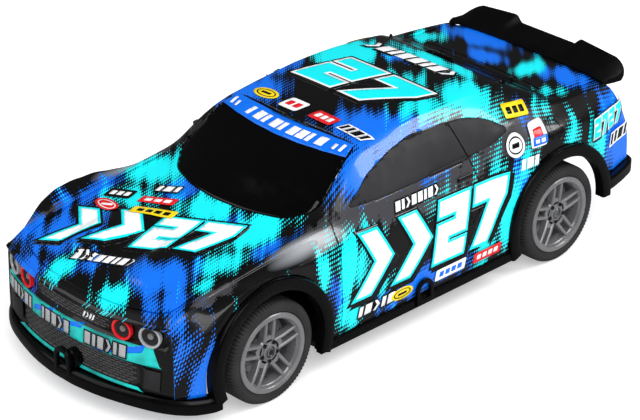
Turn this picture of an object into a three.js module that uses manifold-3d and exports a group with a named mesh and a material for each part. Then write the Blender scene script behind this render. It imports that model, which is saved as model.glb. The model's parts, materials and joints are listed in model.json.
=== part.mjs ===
// A remote control muscle coupe, about one eighteenth of the size of the real kind of car.
// Millimetres. +X is the car's left side, -Y is its front and +Z is up.
// The origin is on the ground, midway between the axles.
import * as THREE from 'three';
import { mergeVertices } from 'three/addons/utils/BufferGeometryUtils.js';
import Module from 'manifold-3d';

const wasm = await Module();
wasm.setup();

// ---------------------------------------------------------------- driving dimensions

const GAP = 0.3;                       // clearance between neighbouring pieces
const HALF_LENGTH = 135;
const HALF_WIDTH = 58.5;
const AXLE_Y = 80;                     // the rear axle; the front one is at -AXLE_Y
const TYRE_RADIUS = 21;
const AXLE_Z = TYRE_RADIUS;
const WHEEL_OUTER = 57;                // |x| of the tyre's outer face
const TYRE_WIDTH = 16;
const RIM_RADIUS = 16.3;               // outer lip of the rim
const BARREL_RADIUS = 15;              // outside of the rim between its lips
const SHAFT_RADIUS = 2;
const SHELL_WALL = 1.5;
const ARCH_RADIUS = 25.5;              // inside of the black flares
const FLARE_RADIUS = 30.6;             // outside of the black flares
const TRIM_INNER = 54;                 // |x| of the inside of flares and skirts
const SKIRT_HALF = 57.6;
const SKIRT_TOP = 15;
const SKIRT_BOTTOM = 10.3;
const SPLITTER_BOTTOM = 8;
const SPLITTER_TOP = 13.8;
const PLATE_BOTTOM = 8.3;
const PLATE_TOP = 10.3;
const PLATE_HALF = 53.6;
const SINK = 0.2;                      // how far a joined solid reaches into its neighbour
const AXLE_HALF = WHEEL_OUTER - 1.2;
const KINGPIN_X = 39;
const KINGPIN_RADIUS = 1.5;
const STEERING_PIN = 1.1;              // radius of the pins that move the tie rod
const STEERING_ARM = 14;               // kingpin to tie rod pin, along Y
const SERVO_Y = -AXLE_Y + STEERING_ARM + 14;
const GEAR_MODULE = 0.6;
const SPUR_TEETH = 34;
const PINION_TEETH = 10;
const GEAR_X = 10;                     // inner face of both gears
const GEAR_WIDTH = 4.5;
const GEARBOX_WALL = 1.2;
const GEARBOX_INNER = GEAR_X - 1;
const GEARBOX_OUTER = GEAR_X + GEAR_WIDTH + 1.4;
const GEARBOX_BACK = 2;                // thickness of the wall behind the gears
const COVER_THICK = 1.4;
const BEARING_X = 30;
const BEARING_WIDTH = 4;
const BEARING_RADIUS = 5;
const MOTOR_LIFT = THREE.MathUtils.degToRad(25);   // the motor sits ahead of the axle and above it
const GEAR_CENTRES = GEAR_MODULE * (SPUR_TEETH + PINION_TEETH) / 2 + 0.15;
const MOTOR_BACK = -26;
const MOTOR_FRONT = 4.5;
const MOTOR_BOSS = 3;
const MOTOR_SHAFT = 1;
const MOTOR_Y = AXLE_Y - GEAR_CENTRES * Math.cos(MOTOR_LIFT);
const MOTOR_Z = AXLE_Z + GEAR_CENTRES * Math.sin(MOTOR_LIFT);
const BATTERY = { x: 17, front: -30, rear: 40, bottom: 11.5, top: 29 };
const CLAMP_PIVOT = { x: 21.5, z: 31 };
const SIDES = [['left', 1], ['right', -1]];

// ---------------------------------------------------------------- solids

// Axes of an outline's own frame, for an outline drawn as (y, z), (x, z) or (x, y).
const ALONG = {
  x: [new THREE.Vector3(0, 1, 0), new THREE.Vector3(0, 0, 1), new THREE.Vector3(1, 0, 0)],
  y: [new THREE.Vector3(-1, 0, 0), new THREE.Vector3(0, 0, 1), new THREE.Vector3(0, 1, 0)],
  z: [new THREE.Vector3(1, 0, 0), new THREE.Vector3(0, 1, 0), new THREE.Vector3(0, 0, 1)],
};

function toSolid(geometry) {
  const bare = geometry.clone();
  bare.deleteAttribute('normal');
  bare.deleteAttribute('uv');
  const welded = mergeVertices(bare, 1e-3);
  const index = welded.index.array;
  const position = welded.attributes.position.array;
  const triangles = [];
  for (let i = 0; i < index.length; i += 3) {
    const [a, b, c] = [index[i], index[i + 1], index[i + 2]];
    if (a !== b && b !== c && c !== a) triangles.push(a, b, c);
  }
  const make = (triVerts) => new wasm.Manifold(
    new wasm.Mesh({ numProp: 3, vertProperties: position, triVerts: new Uint32Array(triVerts) }));
  const solid = make(triangles);
  if (solid.volume() > 0) return solid;
  return make(triangles.reverse());
}

function toGeometry(solid) {
  const { vertProperties, triVerts } = solid.getMesh();
  const geometry = new THREE.BufferGeometry();
  geometry.setAttribute('position', new THREE.BufferAttribute(vertProperties, 3));
  geometry.setIndex(new THREE.BufferAttribute(triVerts, 1));
  geometry.computeVertexNormals();
  return geometry;
}

// An outline with optional holes, pushed along an axis between two places.
function prism(axis, outline, from, to, holes = []) {
  const mirror = axis === 'y' ? -1 : 1;
  const vectors = (points) => points.map(([u, v]) => new THREE.Vector2(mirror * u, v));
  const shape = new THREE.Shape(vectors(outline));
  for (const hole of holes) shape.holes.push(new THREE.Path(vectors(hole)));
  const geometry = new THREE.ExtrudeGeometry(shape, { depth: to - from, bevelEnabled: false });
  geometry.translate(0, 0, from);
  geometry.applyMatrix4(new THREE.Matrix4().makeBasis(...ALONG[axis]));
  return toSolid(geometry);
}

function box(x0, x1, y0, y1, z0, z1) {
  const geometry = new THREE.BoxGeometry(x1 - x0, y1 - y0, z1 - z0);
  geometry.translate((x0 + x1) / 2, (y0 + y1) / 2, (z0 + z1) / 2);
  return toSolid(geometry);
}

function circle(u, v, radius, count = 24, start = 0, end = 2 * Math.PI) {
  const closed = end - start > 2 * Math.PI - 1e-6;
  const steps = closed ? count : count + 1;
  return Array.from({ length: steps }, (_, i) => {
    const angle = start + (end - start) * i / count;
    return [u + radius * Math.cos(angle), v + radius * Math.sin(angle)];
  });
}

function rod(axis, u, v, radius, from, to, count = 20) {
  return prism(axis, circle(u, v, radius, count), from, to);
}

// A closed profile of [distance along +X, radius], turned about the wheel axis through (y, z).
function turned(profile, y, z, count = 24) {
  const points = profile.map(([along, radius]) => new THREE.Vector2(radius, along));
  const geometry = new THREE.LatheGeometry(points, count);
  geometry.rotateZ(-Math.PI / 2);
  geometry.translate(0, y, z);
  return toSolid(geometry);
}

function cable(points, radius) {
  const path = new THREE.CatmullRomCurve3(points.map((point) => new THREE.Vector3(...point)));
  const shape = new THREE.Shape();
  shape.absarc(0, 0, radius, 0, 2 * Math.PI);
  return toSolid(new THREE.ExtrudeGeometry(shape, {
    extrudePath: path, steps: 9, curveSegments: 4, bevelEnabled: false,
  }));
}

function join(...solids) {
  return solids.reduce((whole, solid) => whole.add(solid));
}

function cut(solid, ...tools) {
  return tools.reduce((rest, tool) => rest.subtract(tool), solid);
}

// The same solid on the car's right side.
function mirrored(solid) {
  const { vertProperties, triVerts } = solid.getMesh();
  const position = Float32Array.from(vertProperties, (value, i) => (i % 3 === 0 ? -value : value));
  const geometry = new THREE.BufferGeometry();
  geometry.setAttribute('position', new THREE.BufferAttribute(position, 3));
  geometry.setIndex(new THREE.BufferAttribute(Uint32Array.from(triVerts).reverse(), 1));
  return toSolid(geometry);
}

const onSide = (solid, side) => (side > 0 ? solid : mirrored(solid));

// ---------------------------------------------------------------- materials

const FINISH = {
  livery: [0x0a6cf0, 0.25, 0.0],
  glass: [0x101114, 0.15, 0.0],
  trim: [0x141414, 0.45, 0.0],
  lamp: [0xb9c0c8, 0.25, 0.3],
  redLens: [0x9c1414, 0.2, 0.0],
  rim: [0x6b6d70, 0.4, 0.4],
  tyre: [0x2b2b2c, 0.85, 0.0],
  steel: [0xa9adb2, 0.35, 0.9],
  nylon: [0x1d1e20, 0.6, 0.0],
  whiteNylon: [0xdedbd2, 0.5, 0.0],
  battery: [0x2247a6, 0.5, 0.0],
  board: [0x14603a, 0.5, 0.0],
  cable: [0xb02020, 0.5, 0.0],
};

const car = new THREE.Group();

function place(name, solid, finish) {
  const [color, roughness, metalness] = FINISH[finish];
  const material = new THREE.MeshStandardMaterial({ color, roughness, metalness });
  const mesh = new THREE.Mesh(toGeometry(solid), material);
  mesh.name = name;
  car.add(mesh);
}

// ---------------------------------------------------------------- body surface

// A smooth line through [place, value, ...] rows that never overshoots them.
function smoothLine(rows) {
  const places = rows.map((row) => row[0]);
  const last = rows.length - 1;
  const channel = (k) => {
    const values = rows.map((row) => row[k]);
    const steps = places.slice(1).map((place, i) => place - places[i]);
    const slopes = steps.map((step, i) => (values[i + 1] - values[i]) / step);
    const tangents = values.map((_, i) => {
      if (i === 0) return slopes[0];
      if (i === last) return slopes[last - 1];
      if (slopes[i - 1] * slopes[i] <= 0) return 0;
      return 2 * slopes[i - 1] * slopes[i] / (slopes[i - 1] + slopes[i]);
    });
    return (s) => {
      const at = Math.min(Math.max(s, places[0]), places[last]);
      let i = 0;
      while (i < last - 1 && at > places[i + 1]) i += 1;
      const t = (at - places[i]) / steps[i];
      const rest = 1 - t;
      return values[i] * rest * rest * (1 + 2 * t) + values[i + 1] * t * t * (3 - 2 * t)
        + steps[i] * t * rest * (tangents[i] * rest - tangents[i + 1] * t);
    };
  };
  const channels = rows[0].slice(1).map((_, i) => channel(i + 1));
  return (s) => channels.map((value) => value(s));
}

// The body is lofted through lines that run from nose to tail. The first number of each row is
// the place of the cross-section on the centre line; the rest are x and z, or z alone.
const NOSE = -131;
const TAIL = 132.5;
const CENTRE = smoothLine([[NOSE, 43], [-126, 45.3], [-110, 48.6], [-90, 51.6], [-60, 55.2],
  [-38, 66.8], [-15, 77], [0, 79], [20, 80], [52, 79.2], [66, 77.2], [76, 72.3], [90, 66.2],
  [122, 64.6], [128, 55], [TAIL, 46]]);
const RAIL = smoothLine([[NOSE, 42.8], [-126, 46], [-94, 52.2], [-60, 55.8], [-38, 66.2], [-15, 76.1],
  [13, 78.8], [21, 79.1], [40, 78.8], [54, 77.7], [66, 76.2], [76, 71.8], [90, 65.8], [122, 63.4],
  [128, 54.5], [TAIL, 45.8]]);
const EDGE = smoothLine([[NOSE, 45.5, 42.5], [-126, 42, 46], [-103, 42.5, 51.2], [-75, 42.6, 54.8],
  [-60, 42.8, 56.4], [-38, 41, 65.5], [-15, 35.7, 75.3], [5, 36.5, 76.6], [30, 37, 77], [60, 36, 76],
  [76, 38.5, 71], [91, 41, 65.1], [121, 40, 62.8], [128, 40, 54], [TAIL, 40, 45.4]]);
const CREASE = smoothLine([[NOSE, 47.2, 42.2], [-122, 46.8, 47.6], [-99, 46.8, 50.9],
  [-84, 46.8, 52.6], [-70, 47, 54.6], [-56, 47.6, 55.6], [-38, 48.6, 57.4], [-1, 50, 59],
  [34, 50, 59.6], [51, 50, 65.2], [79, 48, 64.9], [122, 46, 61.4], [129, 47, 53], [TAIL, 48, 44.6]]);
const SHOULDER = smoothLine([[NOSE, 47.8, 38], [-124, 50.5, 41], [-118, 53.4, 44.5],
  [-110, 55.2, 49.8], [-102, 55.7, 52.4], [-89, 55.7, 52.6], [-80, 54.8, 51.2], [-71, 53.6, 49.6],
  [-60, 52.8, 49.2], [-30, 52.6, 51], [40, 52.8, 52.5], [58, 54, 57], [80, 56, 57.5], [104, 53.5, 56],
  [122, 50, 55], [TAIL, 48.8, 43]]);
const WAIST = smoothLine([[NOSE, 48, 30], [-124, 52.6, 37], [-119, 55.2, 39.5], [-104, 57, 42],
  [-50, 55.2, 40], [40, 55.2, 40], [60, 57, 42], [100, 56.4, 42], [122, 51.4, 42], [TAIL, 49.6, 38]]);
const FLANK = smoothLine([[NOSE, 48.2, 22], [-124, 53, 24], [-119, 55.4, 24], [-104, 57, 24],
  [88, 57, 24], [102, 56.8, 31], [116, 54, 31], [TAIL, 50, 31]]);
const SILL = smoothLine([[NOSE, 48.2, 14.3], [-124, 53, 14.3], [-119, 55.4, 14.8], [-104, 57, 15.3],
  [88, 57, 15.3], [102, 56.6, 27.6], [116, 54, 27.6], [TAIL, 50, 27.6]]);
// How far a cross-section's sides lie behind its centre.
const SWEEP = smoothLine([[NOSE, 10], [-60, 18], [-15, 2], [20, 0], [90, 0], [TAIL, -3]]);
const SWEEP_X = 47;

function sweptY(s, x) {
  return s + SWEEP(s)[0] * (Math.min(Math.abs(x), SWEEP_X) / SWEEP_X) ** 2.2;
}

// Left half of the cross-section at s, from the top of the centre line down to the sill.
function halfSection(s) {
  const [edgeX, edgeZ] = EDGE(s);
  const [creaseX, creaseZ] = CREASE(s);
  const bow = 0.5;
  const between = (t) => [edgeX + (creaseX - edgeX) * t + bow, edgeZ + (creaseZ - edgeZ) * t + bow];
  return [
    [0, CENTRE(s)[0]],
    [edgeX * 0.5, CENTRE(s)[0] * 0.8 + RAIL(s)[0] * 0.2],
    [edgeX * 0.92, RAIL(s)[0]],
    [edgeX, edgeZ],
    between(0.3),
    between(0.7),
    [creaseX, creaseZ],
    SHOULDER(s),
    WAIST(s),
    FLANK(s),
    SILL(s),
  ];
}

// The same cross-section drawn in by a wall thickness, with its sill carried below the body.
function innerHalfSection(s, wall) {
  const near = [s - wall, s, s + wall].map(halfSection);
  const drop = 12;
  return near[1].map((_, j) => {
    const x = Math.min(...near.map((section) => section[j][0]));
    const z = Math.min(...near.map((section) => section[j][1]));
    const side = Math.min(1, Math.max(0, (j - 2) / 3));
    const top = j < 7 ? 1 : 0;
    const below = j === near[1].length - 1 ? drop : 0;
    return [Math.max(0, x - wall * side * 1.05), z - wall * top - below];
  });
}

// Stations along the body, closer together where its lines turn.
function stations(from, to) {
  const keys = [[from, 1], [-129, 1], [-126, 1], [-123, 2], [-117, 1], [-110, 1], [-102, 2], [-84, 1],
    [-76, 1], [-60, 3], [-15, 1], [0, 3], [52, 1], [66, 2], [90, 2], [116, 1], [122, 3], [to, 0]];
  const places = [];
  keys.forEach(([start, count], i) => {
    for (let k = 0; k < count; k += 1) places.push(start + (keys[i + 1][0] - start) * k / count);
  });
  places.push(to);
  return places;
}

// A closed solid through half cross-sections, mirrored about the centre line.
function loft(places, section) {
  const vertices = [];
  const triangles = [];
  const add = (x, y, z) => vertices.push(x, y, z) / 3 - 1;
  const quad = (a, b, c, d) => triangles.push(a, b, c, a, c, d);
  const rings = places.map((s) => {
    const half = section(s);
    const left = half.map(([x, z]) => add(x, sweptY(s, x), z));
    const right = half.slice(1).map(([x, z]) => add(-x, sweptY(s, x), z));
    return [...left.reverse(), ...right];
  });
  for (let i = 0; i + 1 < rings.length; i += 1) {
    const [a, b] = [rings[i], rings[i + 1]];
    for (let j = 0; j < a.length; j += 1) {
      const next = (j + 1) % a.length;
      quad(a[j], a[next], b[next], b[j]);
    }
  }
  const edge = 3;                        // the place of EDGE in a half section
  const cap = (s, ring, turn) => {
    const half = section(s);
    const face = (a, b, c, d) => (turn ? quad(a, d, c, b) : quad(a, b, c, d));
    const middle = half.length - 1;
    const columns = ring.slice(middle - edge, middle + edge + 1);
    const leftSide = half.slice(0, edge + 1).map(([x]) => x / half[edge][0]).reverse();
    const across = [...leftSide, ...leftSide.slice(0, -1).reverse().map((fraction) => -fraction)];
    let above = columns;
    for (let j = edge + 1; j < half.length; j += 1) {
      const [x, z] = half[j];
      const row = across.map((f, k) => {
        if (k === 0) return ring[middle - j];
        if (k === across.length - 1) return ring[middle + j];
        return add(x * f, sweptY(s, x * f), z);
      });
      for (let k = 0; k + 1 < row.length; k += 1) face(above[k], row[k], row[k + 1], above[k + 1]);
      above = row;
    }
    for (let k = 1; k + 1 < above.length; k += 1) {
      if (turn) triangles.push(above[0], above[k], above[k + 1]);
      else triangles.push(above[0], above[k + 1], above[k]);
    }
  };
  cap(places[0], rings[0], false);
  cap(places[places.length - 1], rings[rings.length - 1], true);
  const geometry = new THREE.BufferGeometry();
  geometry.setAttribute('position', new THREE.BufferAttribute(new Float32Array(vertices), 3));
  geometry.setIndex(triangles);
  return toSolid(geometry);
}

const outerBody = loft(stations(NOSE, TAIL), halfSection);
const innerBody = loft(stations(NOSE + SHELL_WALL, TAIL - SHELL_WALL),
  (s) => innerHalfSection(s, SHELL_WALL));
const wholeShell = outerBody.subtract(innerBody);

// ---------------------------------------------------------------- openings in the body

const scaledAbout = (points, grow) => {
  const u = points.reduce((sum, point) => sum + point[0], 0) / points.length;
  const v = points.reduce((sum, point) => sum + point[1], 0) / points.length;
  return points.map(([a, b]) => {
    const reach = Math.hypot(a - u, b - v);
    return [u + (a - u) * (1 + grow / reach), v + (b - v) * (1 + grow / reach)];
  });
};

const WINDSHIELD = [[0, -55.5], [20, -52.5], [34, -46], [38.8, -38], [33, -14.5], [17, -16], [0, -16.4],
  [-17, -16], [-33, -14.5], [-38.8, -38], [-34, -46], [-20, -52.5]];
const REAR_WINDOW = [[31, 67], [36, 88], [0, 90], [-36, 88], [-31, 67], [0, 67.5]];
const SIDE_WINDOW = [[-28, 60.2], [33, 60.2], [44, 62.5], [54, 66], [44, 72], [28, 73.8], [-3, 71.6]];
const UPPER_GRILLE = [[-21, 35.6], [21, 35.6], [21, 41.4], [-21, 41.4]];
const LOWER_GRILLE = [[-33, 15.6], [33, 15.6], [35, 20], [32, 24.6], [-32, 24.6], [-35, 20]];
const LAMPS = [['outer', 38.2, 4.8], ['inner', 27.4, 4.4]];
const LAMP_Z = 38;
const TAIL_LIGHT = [[14, 50.5], [43, 50.5], [43, 57.5], [14, 57.5]];
const FRONT_CUT = [-HALF_LENGTH, -112];
const REAR_CUT = [118, HALF_LENGTH];

const lampHole = (x, radius) => rod('y', x, LAMP_Z, radius, ...FRONT_CUT);
const mirrorOutline = (points) => points.map(([u, v]) => [-u, v]).reverse();

// Each wheel opening runs straight down below the axle, so that the shell can be lifted off past the flares.
function wheelOpening(y) {
  const reach = FLARE_RADIUS + GAP;
  const inner = TRIM_INNER - GAP;
  return join(
    rod('x', y, AXLE_Z, reach, inner, 60, 40),
    box(inner, 60, y - reach, y + reach, AXLE_Z - reach, AXLE_Z),
  );
}

function bodyShell() {
  const leftOpenings = [wheelOpening(-AXLE_Y), wheelOpening(AXLE_Y)];
  const openings = [...leftOpenings, ...leftOpenings.map(mirrored)];
  const windows = [
    prism('z', WINDSHIELD, 50, 90),
    prism('z', REAR_WINDOW, 50, 90),
    prism('x', SIDE_WINDOW, 30, 60),
    prism('x', SIDE_WINDOW, -60, -30),
  ];
  const front = [
    prism('y', UPPER_GRILLE, ...FRONT_CUT),
    prism('y', LOWER_GRILLE, ...FRONT_CUT),
    ...LAMPS.flatMap(([, x, radius]) => [lampHole(x, radius), lampHole(-x, radius)]),
  ];
  const rear = [
    prism('y', TAIL_LIGHT, ...REAR_CUT),
    prism('y', mirrorOutline(TAIL_LIGHT), ...REAR_CUT),
  ];
  return cut(wholeShell, ...openings, ...windows, ...front, ...rear);
}

place('body_shell', bodyShell(), 'livery');

// Window and grille inserts are cut from the same wall, a gap smaller than their openings.
const insert = (axis, outline, from, to) =>
  wholeShell.intersect(prism(axis, scaledAbout(outline, -1.5 * GAP), from, to));

place('windshield', insert('z', WINDSHIELD, 50, 90), 'glass');
place('rear_window', insert('z', REAR_WINDOW, 50, 90), 'glass');
place('side_window_left', insert('x', SIDE_WINDOW, 30, 60), 'glass');
place('side_window_right', insert('x', SIDE_WINDOW, -60, -30), 'glass');

function grille(outline, rows, columns) {
  const xs = outline.map((point) => point[0]);
  const zs = outline.map((point) => point[1]);
  const [x0, x1] = [Math.min(...xs) + 3, Math.max(...xs) - 3];
  const [z0, z1] = [Math.min(...zs) + 1, Math.max(...zs) - 1];
  const bar = 1.1;
  const [width, height] = [(x1 - x0) / columns, (z1 - z0) / rows];
  const holes = [];
  for (let row = 0; row < rows; row += 1) {
    for (let column = 0; column < columns; column += 1) {
      const x = x0 + column * width;
      const z = z0 + row * height;
      holes.push(box(x + bar / 2, x + width - bar / 2, ...FRONT_CUT, z + bar / 2, z + height - bar / 2));
    }
  }
  return cut(insert('y', outline, ...FRONT_CUT), ...holes);
}

place('upper_grille', grille(UPPER_GRILLE, 2, 6), 'trim');
place('lower_grille', grille(LOWER_GRILLE, 2, 7), 'trim');

// A lamp is a short cup with a domed front, set into the nose.
function lamp(x, radius) {
  const front = sweptY(NOSE, x);
  const reach = radius - GAP;
  const profile = [[front - 0.4, 0], [front - 0.2, reach * 0.55], [front + 0.6, reach], [front + 6, reach],
    [front + 6, 0]];
  const geometry = new THREE.LatheGeometry(profile.map(([y, r]) => new THREE.Vector2(r, y)), 20);
  geometry.translate(x, 0, 0);
  geometry.applyMatrix4(new THREE.Matrix4().makeTranslation(0, 0, LAMP_Z));
  return toSolid(geometry);
}

for (const [side, sign] of SIDES) {
  for (const [kind, x, radius] of LAMPS) {
    place(`headlight_${kind}_${side}`, onSide(lamp(x, radius), sign), 'lamp');
  }
  place(`tail_light_${side}`, onSide(insert('y', TAIL_LIGHT, ...REAR_CUT), sign), 'redLens');
}

// The spoiler stands on the rear edge of the boot: a low middle and two raised ends.
function spoiler() {
  const blade = (foot, top, thick) => [[118.5, foot], [126, foot - 1.2], [HALF_LENGTH, top - 2],
    [HALF_LENGTH, top], [HALF_LENGTH - 2, top], [127, foot + thick], [118.5, foot + 1.4]];
  const foot = 65.2;
  const middle = prism('x', blade(foot, 67.2, 1.8), -17.7, 17.7);
  const end = prism('x', blade(foot, 70, 3), 15, 42);
  const tip = prism('x', [[118.5, 63.6], [126, 61.8], [131, 65], [130, 67], [118.5, foot + 0.6]], 41, 45);
  return join(middle, end, tip, mirrored(end), mirrored(tip));
}

place('rear_spoiler', spoiler(), 'trim');

// ---------------------------------------------------------------- lower trim

// One black arch over a wheel, from the foot on its front side round to the foot behind it.
function flare(y, startDegrees, endDegrees) {
  const start = THREE.MathUtils.degToRad(startDegrees);
  const end = THREE.MathUtils.degToRad(endDegrees);
  const outline = [
    ...circle(y, AXLE_Z, FLARE_RADIUS, 20, start, end),
    ...circle(y, AXLE_Z, ARCH_RADIUS, 20, start, end).reverse(),
  ];
  return prism('x', outline, TRIM_INNER, HALF_WIDTH);
}

function splitter() {
  const outline = [[-50, -110], [-49.5, -116], [-45.4, -121], [-36, -127], [-18, -133], [0, -HALF_LENGTH],
    [18, -133], [36, -127], [45.4, -121], [49.5, -116], [50, -110], [20, -114], [-20, -114]];
  return prism('z', outline, SPLITTER_BOTTOM, SPLITTER_TOP);
}

// The corner between the splitter and a front flare.
function splitterEnd() {
  const outline = [[48, -120], [53, -116], [57, -109], [HALF_WIDTH, -106.5], [TRIM_INNER, -106.5],
    [TRIM_INNER, -108.5], [46, -113]];
  return join(
    prism('z', outline, SPLITTER_BOTTOM, SPLITTER_TOP),
    box(TRIM_INNER, HALF_WIDTH, -110.5, -106.5, SPLITTER_BOTTOM, SPLITTER_TOP),
  );
}

function rearLip() {
  const outer = [[HALF_WIDTH, 106], [57, 114], [55, 122], [52, 131], [49.5, 133.4], [20, 134.4],
    [0, HALF_LENGTH]];
  const inner = [[0, 131], [20, 130.4], [48, 129.6], [50, 122], [51.5, 114], [TRIM_INNER, 106]];
  const whole = [...outer, ...mirrorOutline(outer).slice(1), ...mirrorOutline(inner), ...inner.slice(1)];
  return prism('z', whole, 21.2, 27.2);
}

// An upside-down U that snaps over a catch on the body.
function snapLoop(width, foot, top) {
  const bar = 1.5;
  const outline = [[-width / 2, foot], [width / 2, foot], [width / 2, top], [-width / 2, top]];
  const reach = width / 2 - bar;
  const window = [[-reach, foot + bar], [-reach, top - bar], [reach, top - bar], [reach, foot + bar]];
  return { outline, window };
}

function lowerTrim() {
  const skirt = box(TRIM_INNER, SKIRT_HALF, -AXLE_Y + ARCH_RADIUS - 0.5, AXLE_Y - ARCH_RADIUS + 0.5,
    SKIRT_BOTTOM, SKIRT_TOP);
  const side = snapLoop(9, 12, 22.4);
  const sideLoop = prism('x', side.outline, SKIRT_HALF - 0.3, HALF_WIDTH, [side.window]);
  const front = snapLoop(9, 10, 22);
  const frontLoop = prism('y', front.outline, -HALF_LENGTH, -HALF_LENGTH + 1.6, [front.window]);
  const leftHalf = join(skirt, sideLoop, flare(-AXLE_Y, -20, 200), flare(AXLE_Y, -2, 200), splitterEnd());
  return join(splitter(), leftHalf, mirrored(leftHalf), rearLip(), frontLoop);
}

place('lower_trim', lowerTrim(), 'trim');

// ---------------------------------------------------------------- chassis

const BEAM_BOTTOM = 11;
const BEAM_THICK = 2.4;
const UPPER_BEAM_BOTTOM = 2 * AXLE_Z - BEAM_BOTTOM - BEAM_THICK;
const SWITCH = { x: -36, y: -18, travel: 4 };
const SWITCH_KNOB = 3.8;

function chassisPlate() {
  const half = [[20, -113.5], [24, -106], [26, -60], [34, -52], [PLATE_HALF, -50], [PLATE_HALF, 50],
    [36, 54], [34, 60], [34, 100], [20, 112]];
  const outline = [...half, ...mirrorOutline(half)];
  const plate = prism('z', outline, PLATE_BOTTOM, PLATE_TOP);
  const [room, wall] = [1, 1.6];
  const aroundBattery = (grow, from, to) => box(-BATTERY.x - grow, BATTERY.x + grow,
    BATTERY.front - grow, BATTERY.rear + grow, from, to);
  const tray = cut(
    aroundBattery(room + wall, PLATE_TOP - SINK, PLATE_TOP + 6),
    aroundBattery(room, PLATE_TOP, PLATE_TOP + 7),
  );
  const clampPosts = [-3, 13].map((y) =>
    box(CLAMP_PIVOT.x - 2, CLAMP_PIVOT.x + 2, y - 1.2, y + 1.2, PLATE_TOP - SINK, CLAMP_PIVOT.z + 2));
  const postReach = BEARING_RADIUS + 2;
  const bearingPosts = [-BEARING_X, BEARING_X].map((x) => cut(
    box(x - BEARING_WIDTH / 2, x + BEARING_WIDTH / 2, AXLE_Y - postReach, AXLE_Y + postReach,
      PLATE_TOP - SINK, AXLE_Z + postReach),
    rod('x', AXLE_Y, AXLE_Z, BEARING_RADIUS + GAP, x - BEARING_WIDTH, x + BEARING_WIDTH, 24),
  ));
  const slotHalf = SWITCH_KNOB / 2 + 0.5;
  const slot = box(SWITCH.x - slotHalf, SWITCH.x + slotHalf, SWITCH.y - slotHalf,
    SWITCH.y + SWITCH.travel + slotHalf, 0, PLATE_TOP + 1);
  const crossTies = [-35, 45].map((y) =>
    box(-PLATE_HALF, PLATE_HALF, y - 1, y + 1, PLATE_TOP - SINK, PLATE_TOP + 1.6));
  const gearWell = box(GEARBOX_INNER - GEARBOX_BACK - GAP, GEARBOX_OUTER + COVER_THICK + 2 * GAP,
    AXLE_Y - 7.4, AXLE_Y + 7.4, 0, PLATE_TOP + 1);
  return cut(join(plate, tray, ...clampPosts, ...bearingPosts, ...crossTies), slot, gearWell);
}

place('chassis_plate', chassisPlate(), 'nylon');

// The front wheels hang between two beams, and a pin at each end carries a knuckle.
function frontBeam(bottom) {
  const end = circle(KINGPIN_X, -AXLE_Y, 4, 16, -Math.PI / 2, Math.PI / 2);
  const half = [[10, -AXLE_Y - 8], ...end, [10, -AXLE_Y + 8]];
  const holes = [KINGPIN_X, -KINGPIN_X].map((x) => circle(x, -AXLE_Y, KINGPIN_RADIUS + GAP, 16));
  return prism('z', [...half, ...mirrorOutline(half)], bottom, bottom + BEAM_THICK, holes);
}

place('lower_front_beam', frontBeam(BEAM_BOTTOM), 'nylon');
place('upper_front_beam', frontBeam(UPPER_BEAM_BOTTOM), 'nylon');
place('front_bulkhead', box(-11, 11, -AXLE_Y - 7, -AXLE_Y + 7, BEAM_BOTTOM + BEAM_THICK + GAP,
  UPPER_BEAM_BOTTOM - GAP), 'nylon');

function kingpin() {
  const seat = UPPER_BEAM_BOTTOM + BEAM_THICK + GAP;
  const head = rod('z', KINGPIN_X, -AXLE_Y, KINGPIN_RADIUS + 1.1, seat, seat + 1.2, 16);
  return join(rod('z', KINGPIN_X, -AXLE_Y, KINGPIN_RADIUS, BEAM_BOTTOM, seat + 0.7, 16), head);
}

const TIE_ROD_BOTTOM = 24;
const TIE_ROD_TOP = 26.4;
const TIE_ROD_X = KINGPIN_X - 2;

// The knuckle turns on its kingpin; it carries the stub axle and an arm with the tie rod's pin.
function knuckle() {
  const bottom = BEAM_BOTTOM + BEAM_THICK + GAP;
  const top = UPPER_BEAM_BOTTOM - GAP;
  const block = box(KINGPIN_X - 3.4, KINGPIN_X + 3.4, -AXLE_Y - 3.4, -AXLE_Y + 3.4, bottom, top);
  const stub = rod('x', -AXLE_Y, AXLE_Z, SHAFT_RADIUS, KINGPIN_X + 2, AXLE_HALF);
  const armY = -AXLE_Y + STEERING_ARM;
  const armEnd = [[TIE_ROD_X + 2, armY], ...circle(TIE_ROD_X, armY, 2, 10, 0, Math.PI), [TIE_ROD_X - 2,
    armY]];
  const arm = prism('z', [[KINGPIN_X - 3, -AXLE_Y], [KINGPIN_X + 2, -AXLE_Y], ...armEnd],
    TIE_ROD_BOTTOM - 3.4, TIE_ROD_BOTTOM - GAP);
  const pin = rod('z', TIE_ROD_X, armY, STEERING_PIN, TIE_ROD_BOTTOM - 1, TIE_ROD_TOP + 0.6, 14);
  const bore = rod('z', KINGPIN_X, -AXLE_Y, KINGPIN_RADIUS + GAP, bottom - 1, top + 1, 16);
  return cut(join(block, stub, arm, pin), bore);
}

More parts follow.
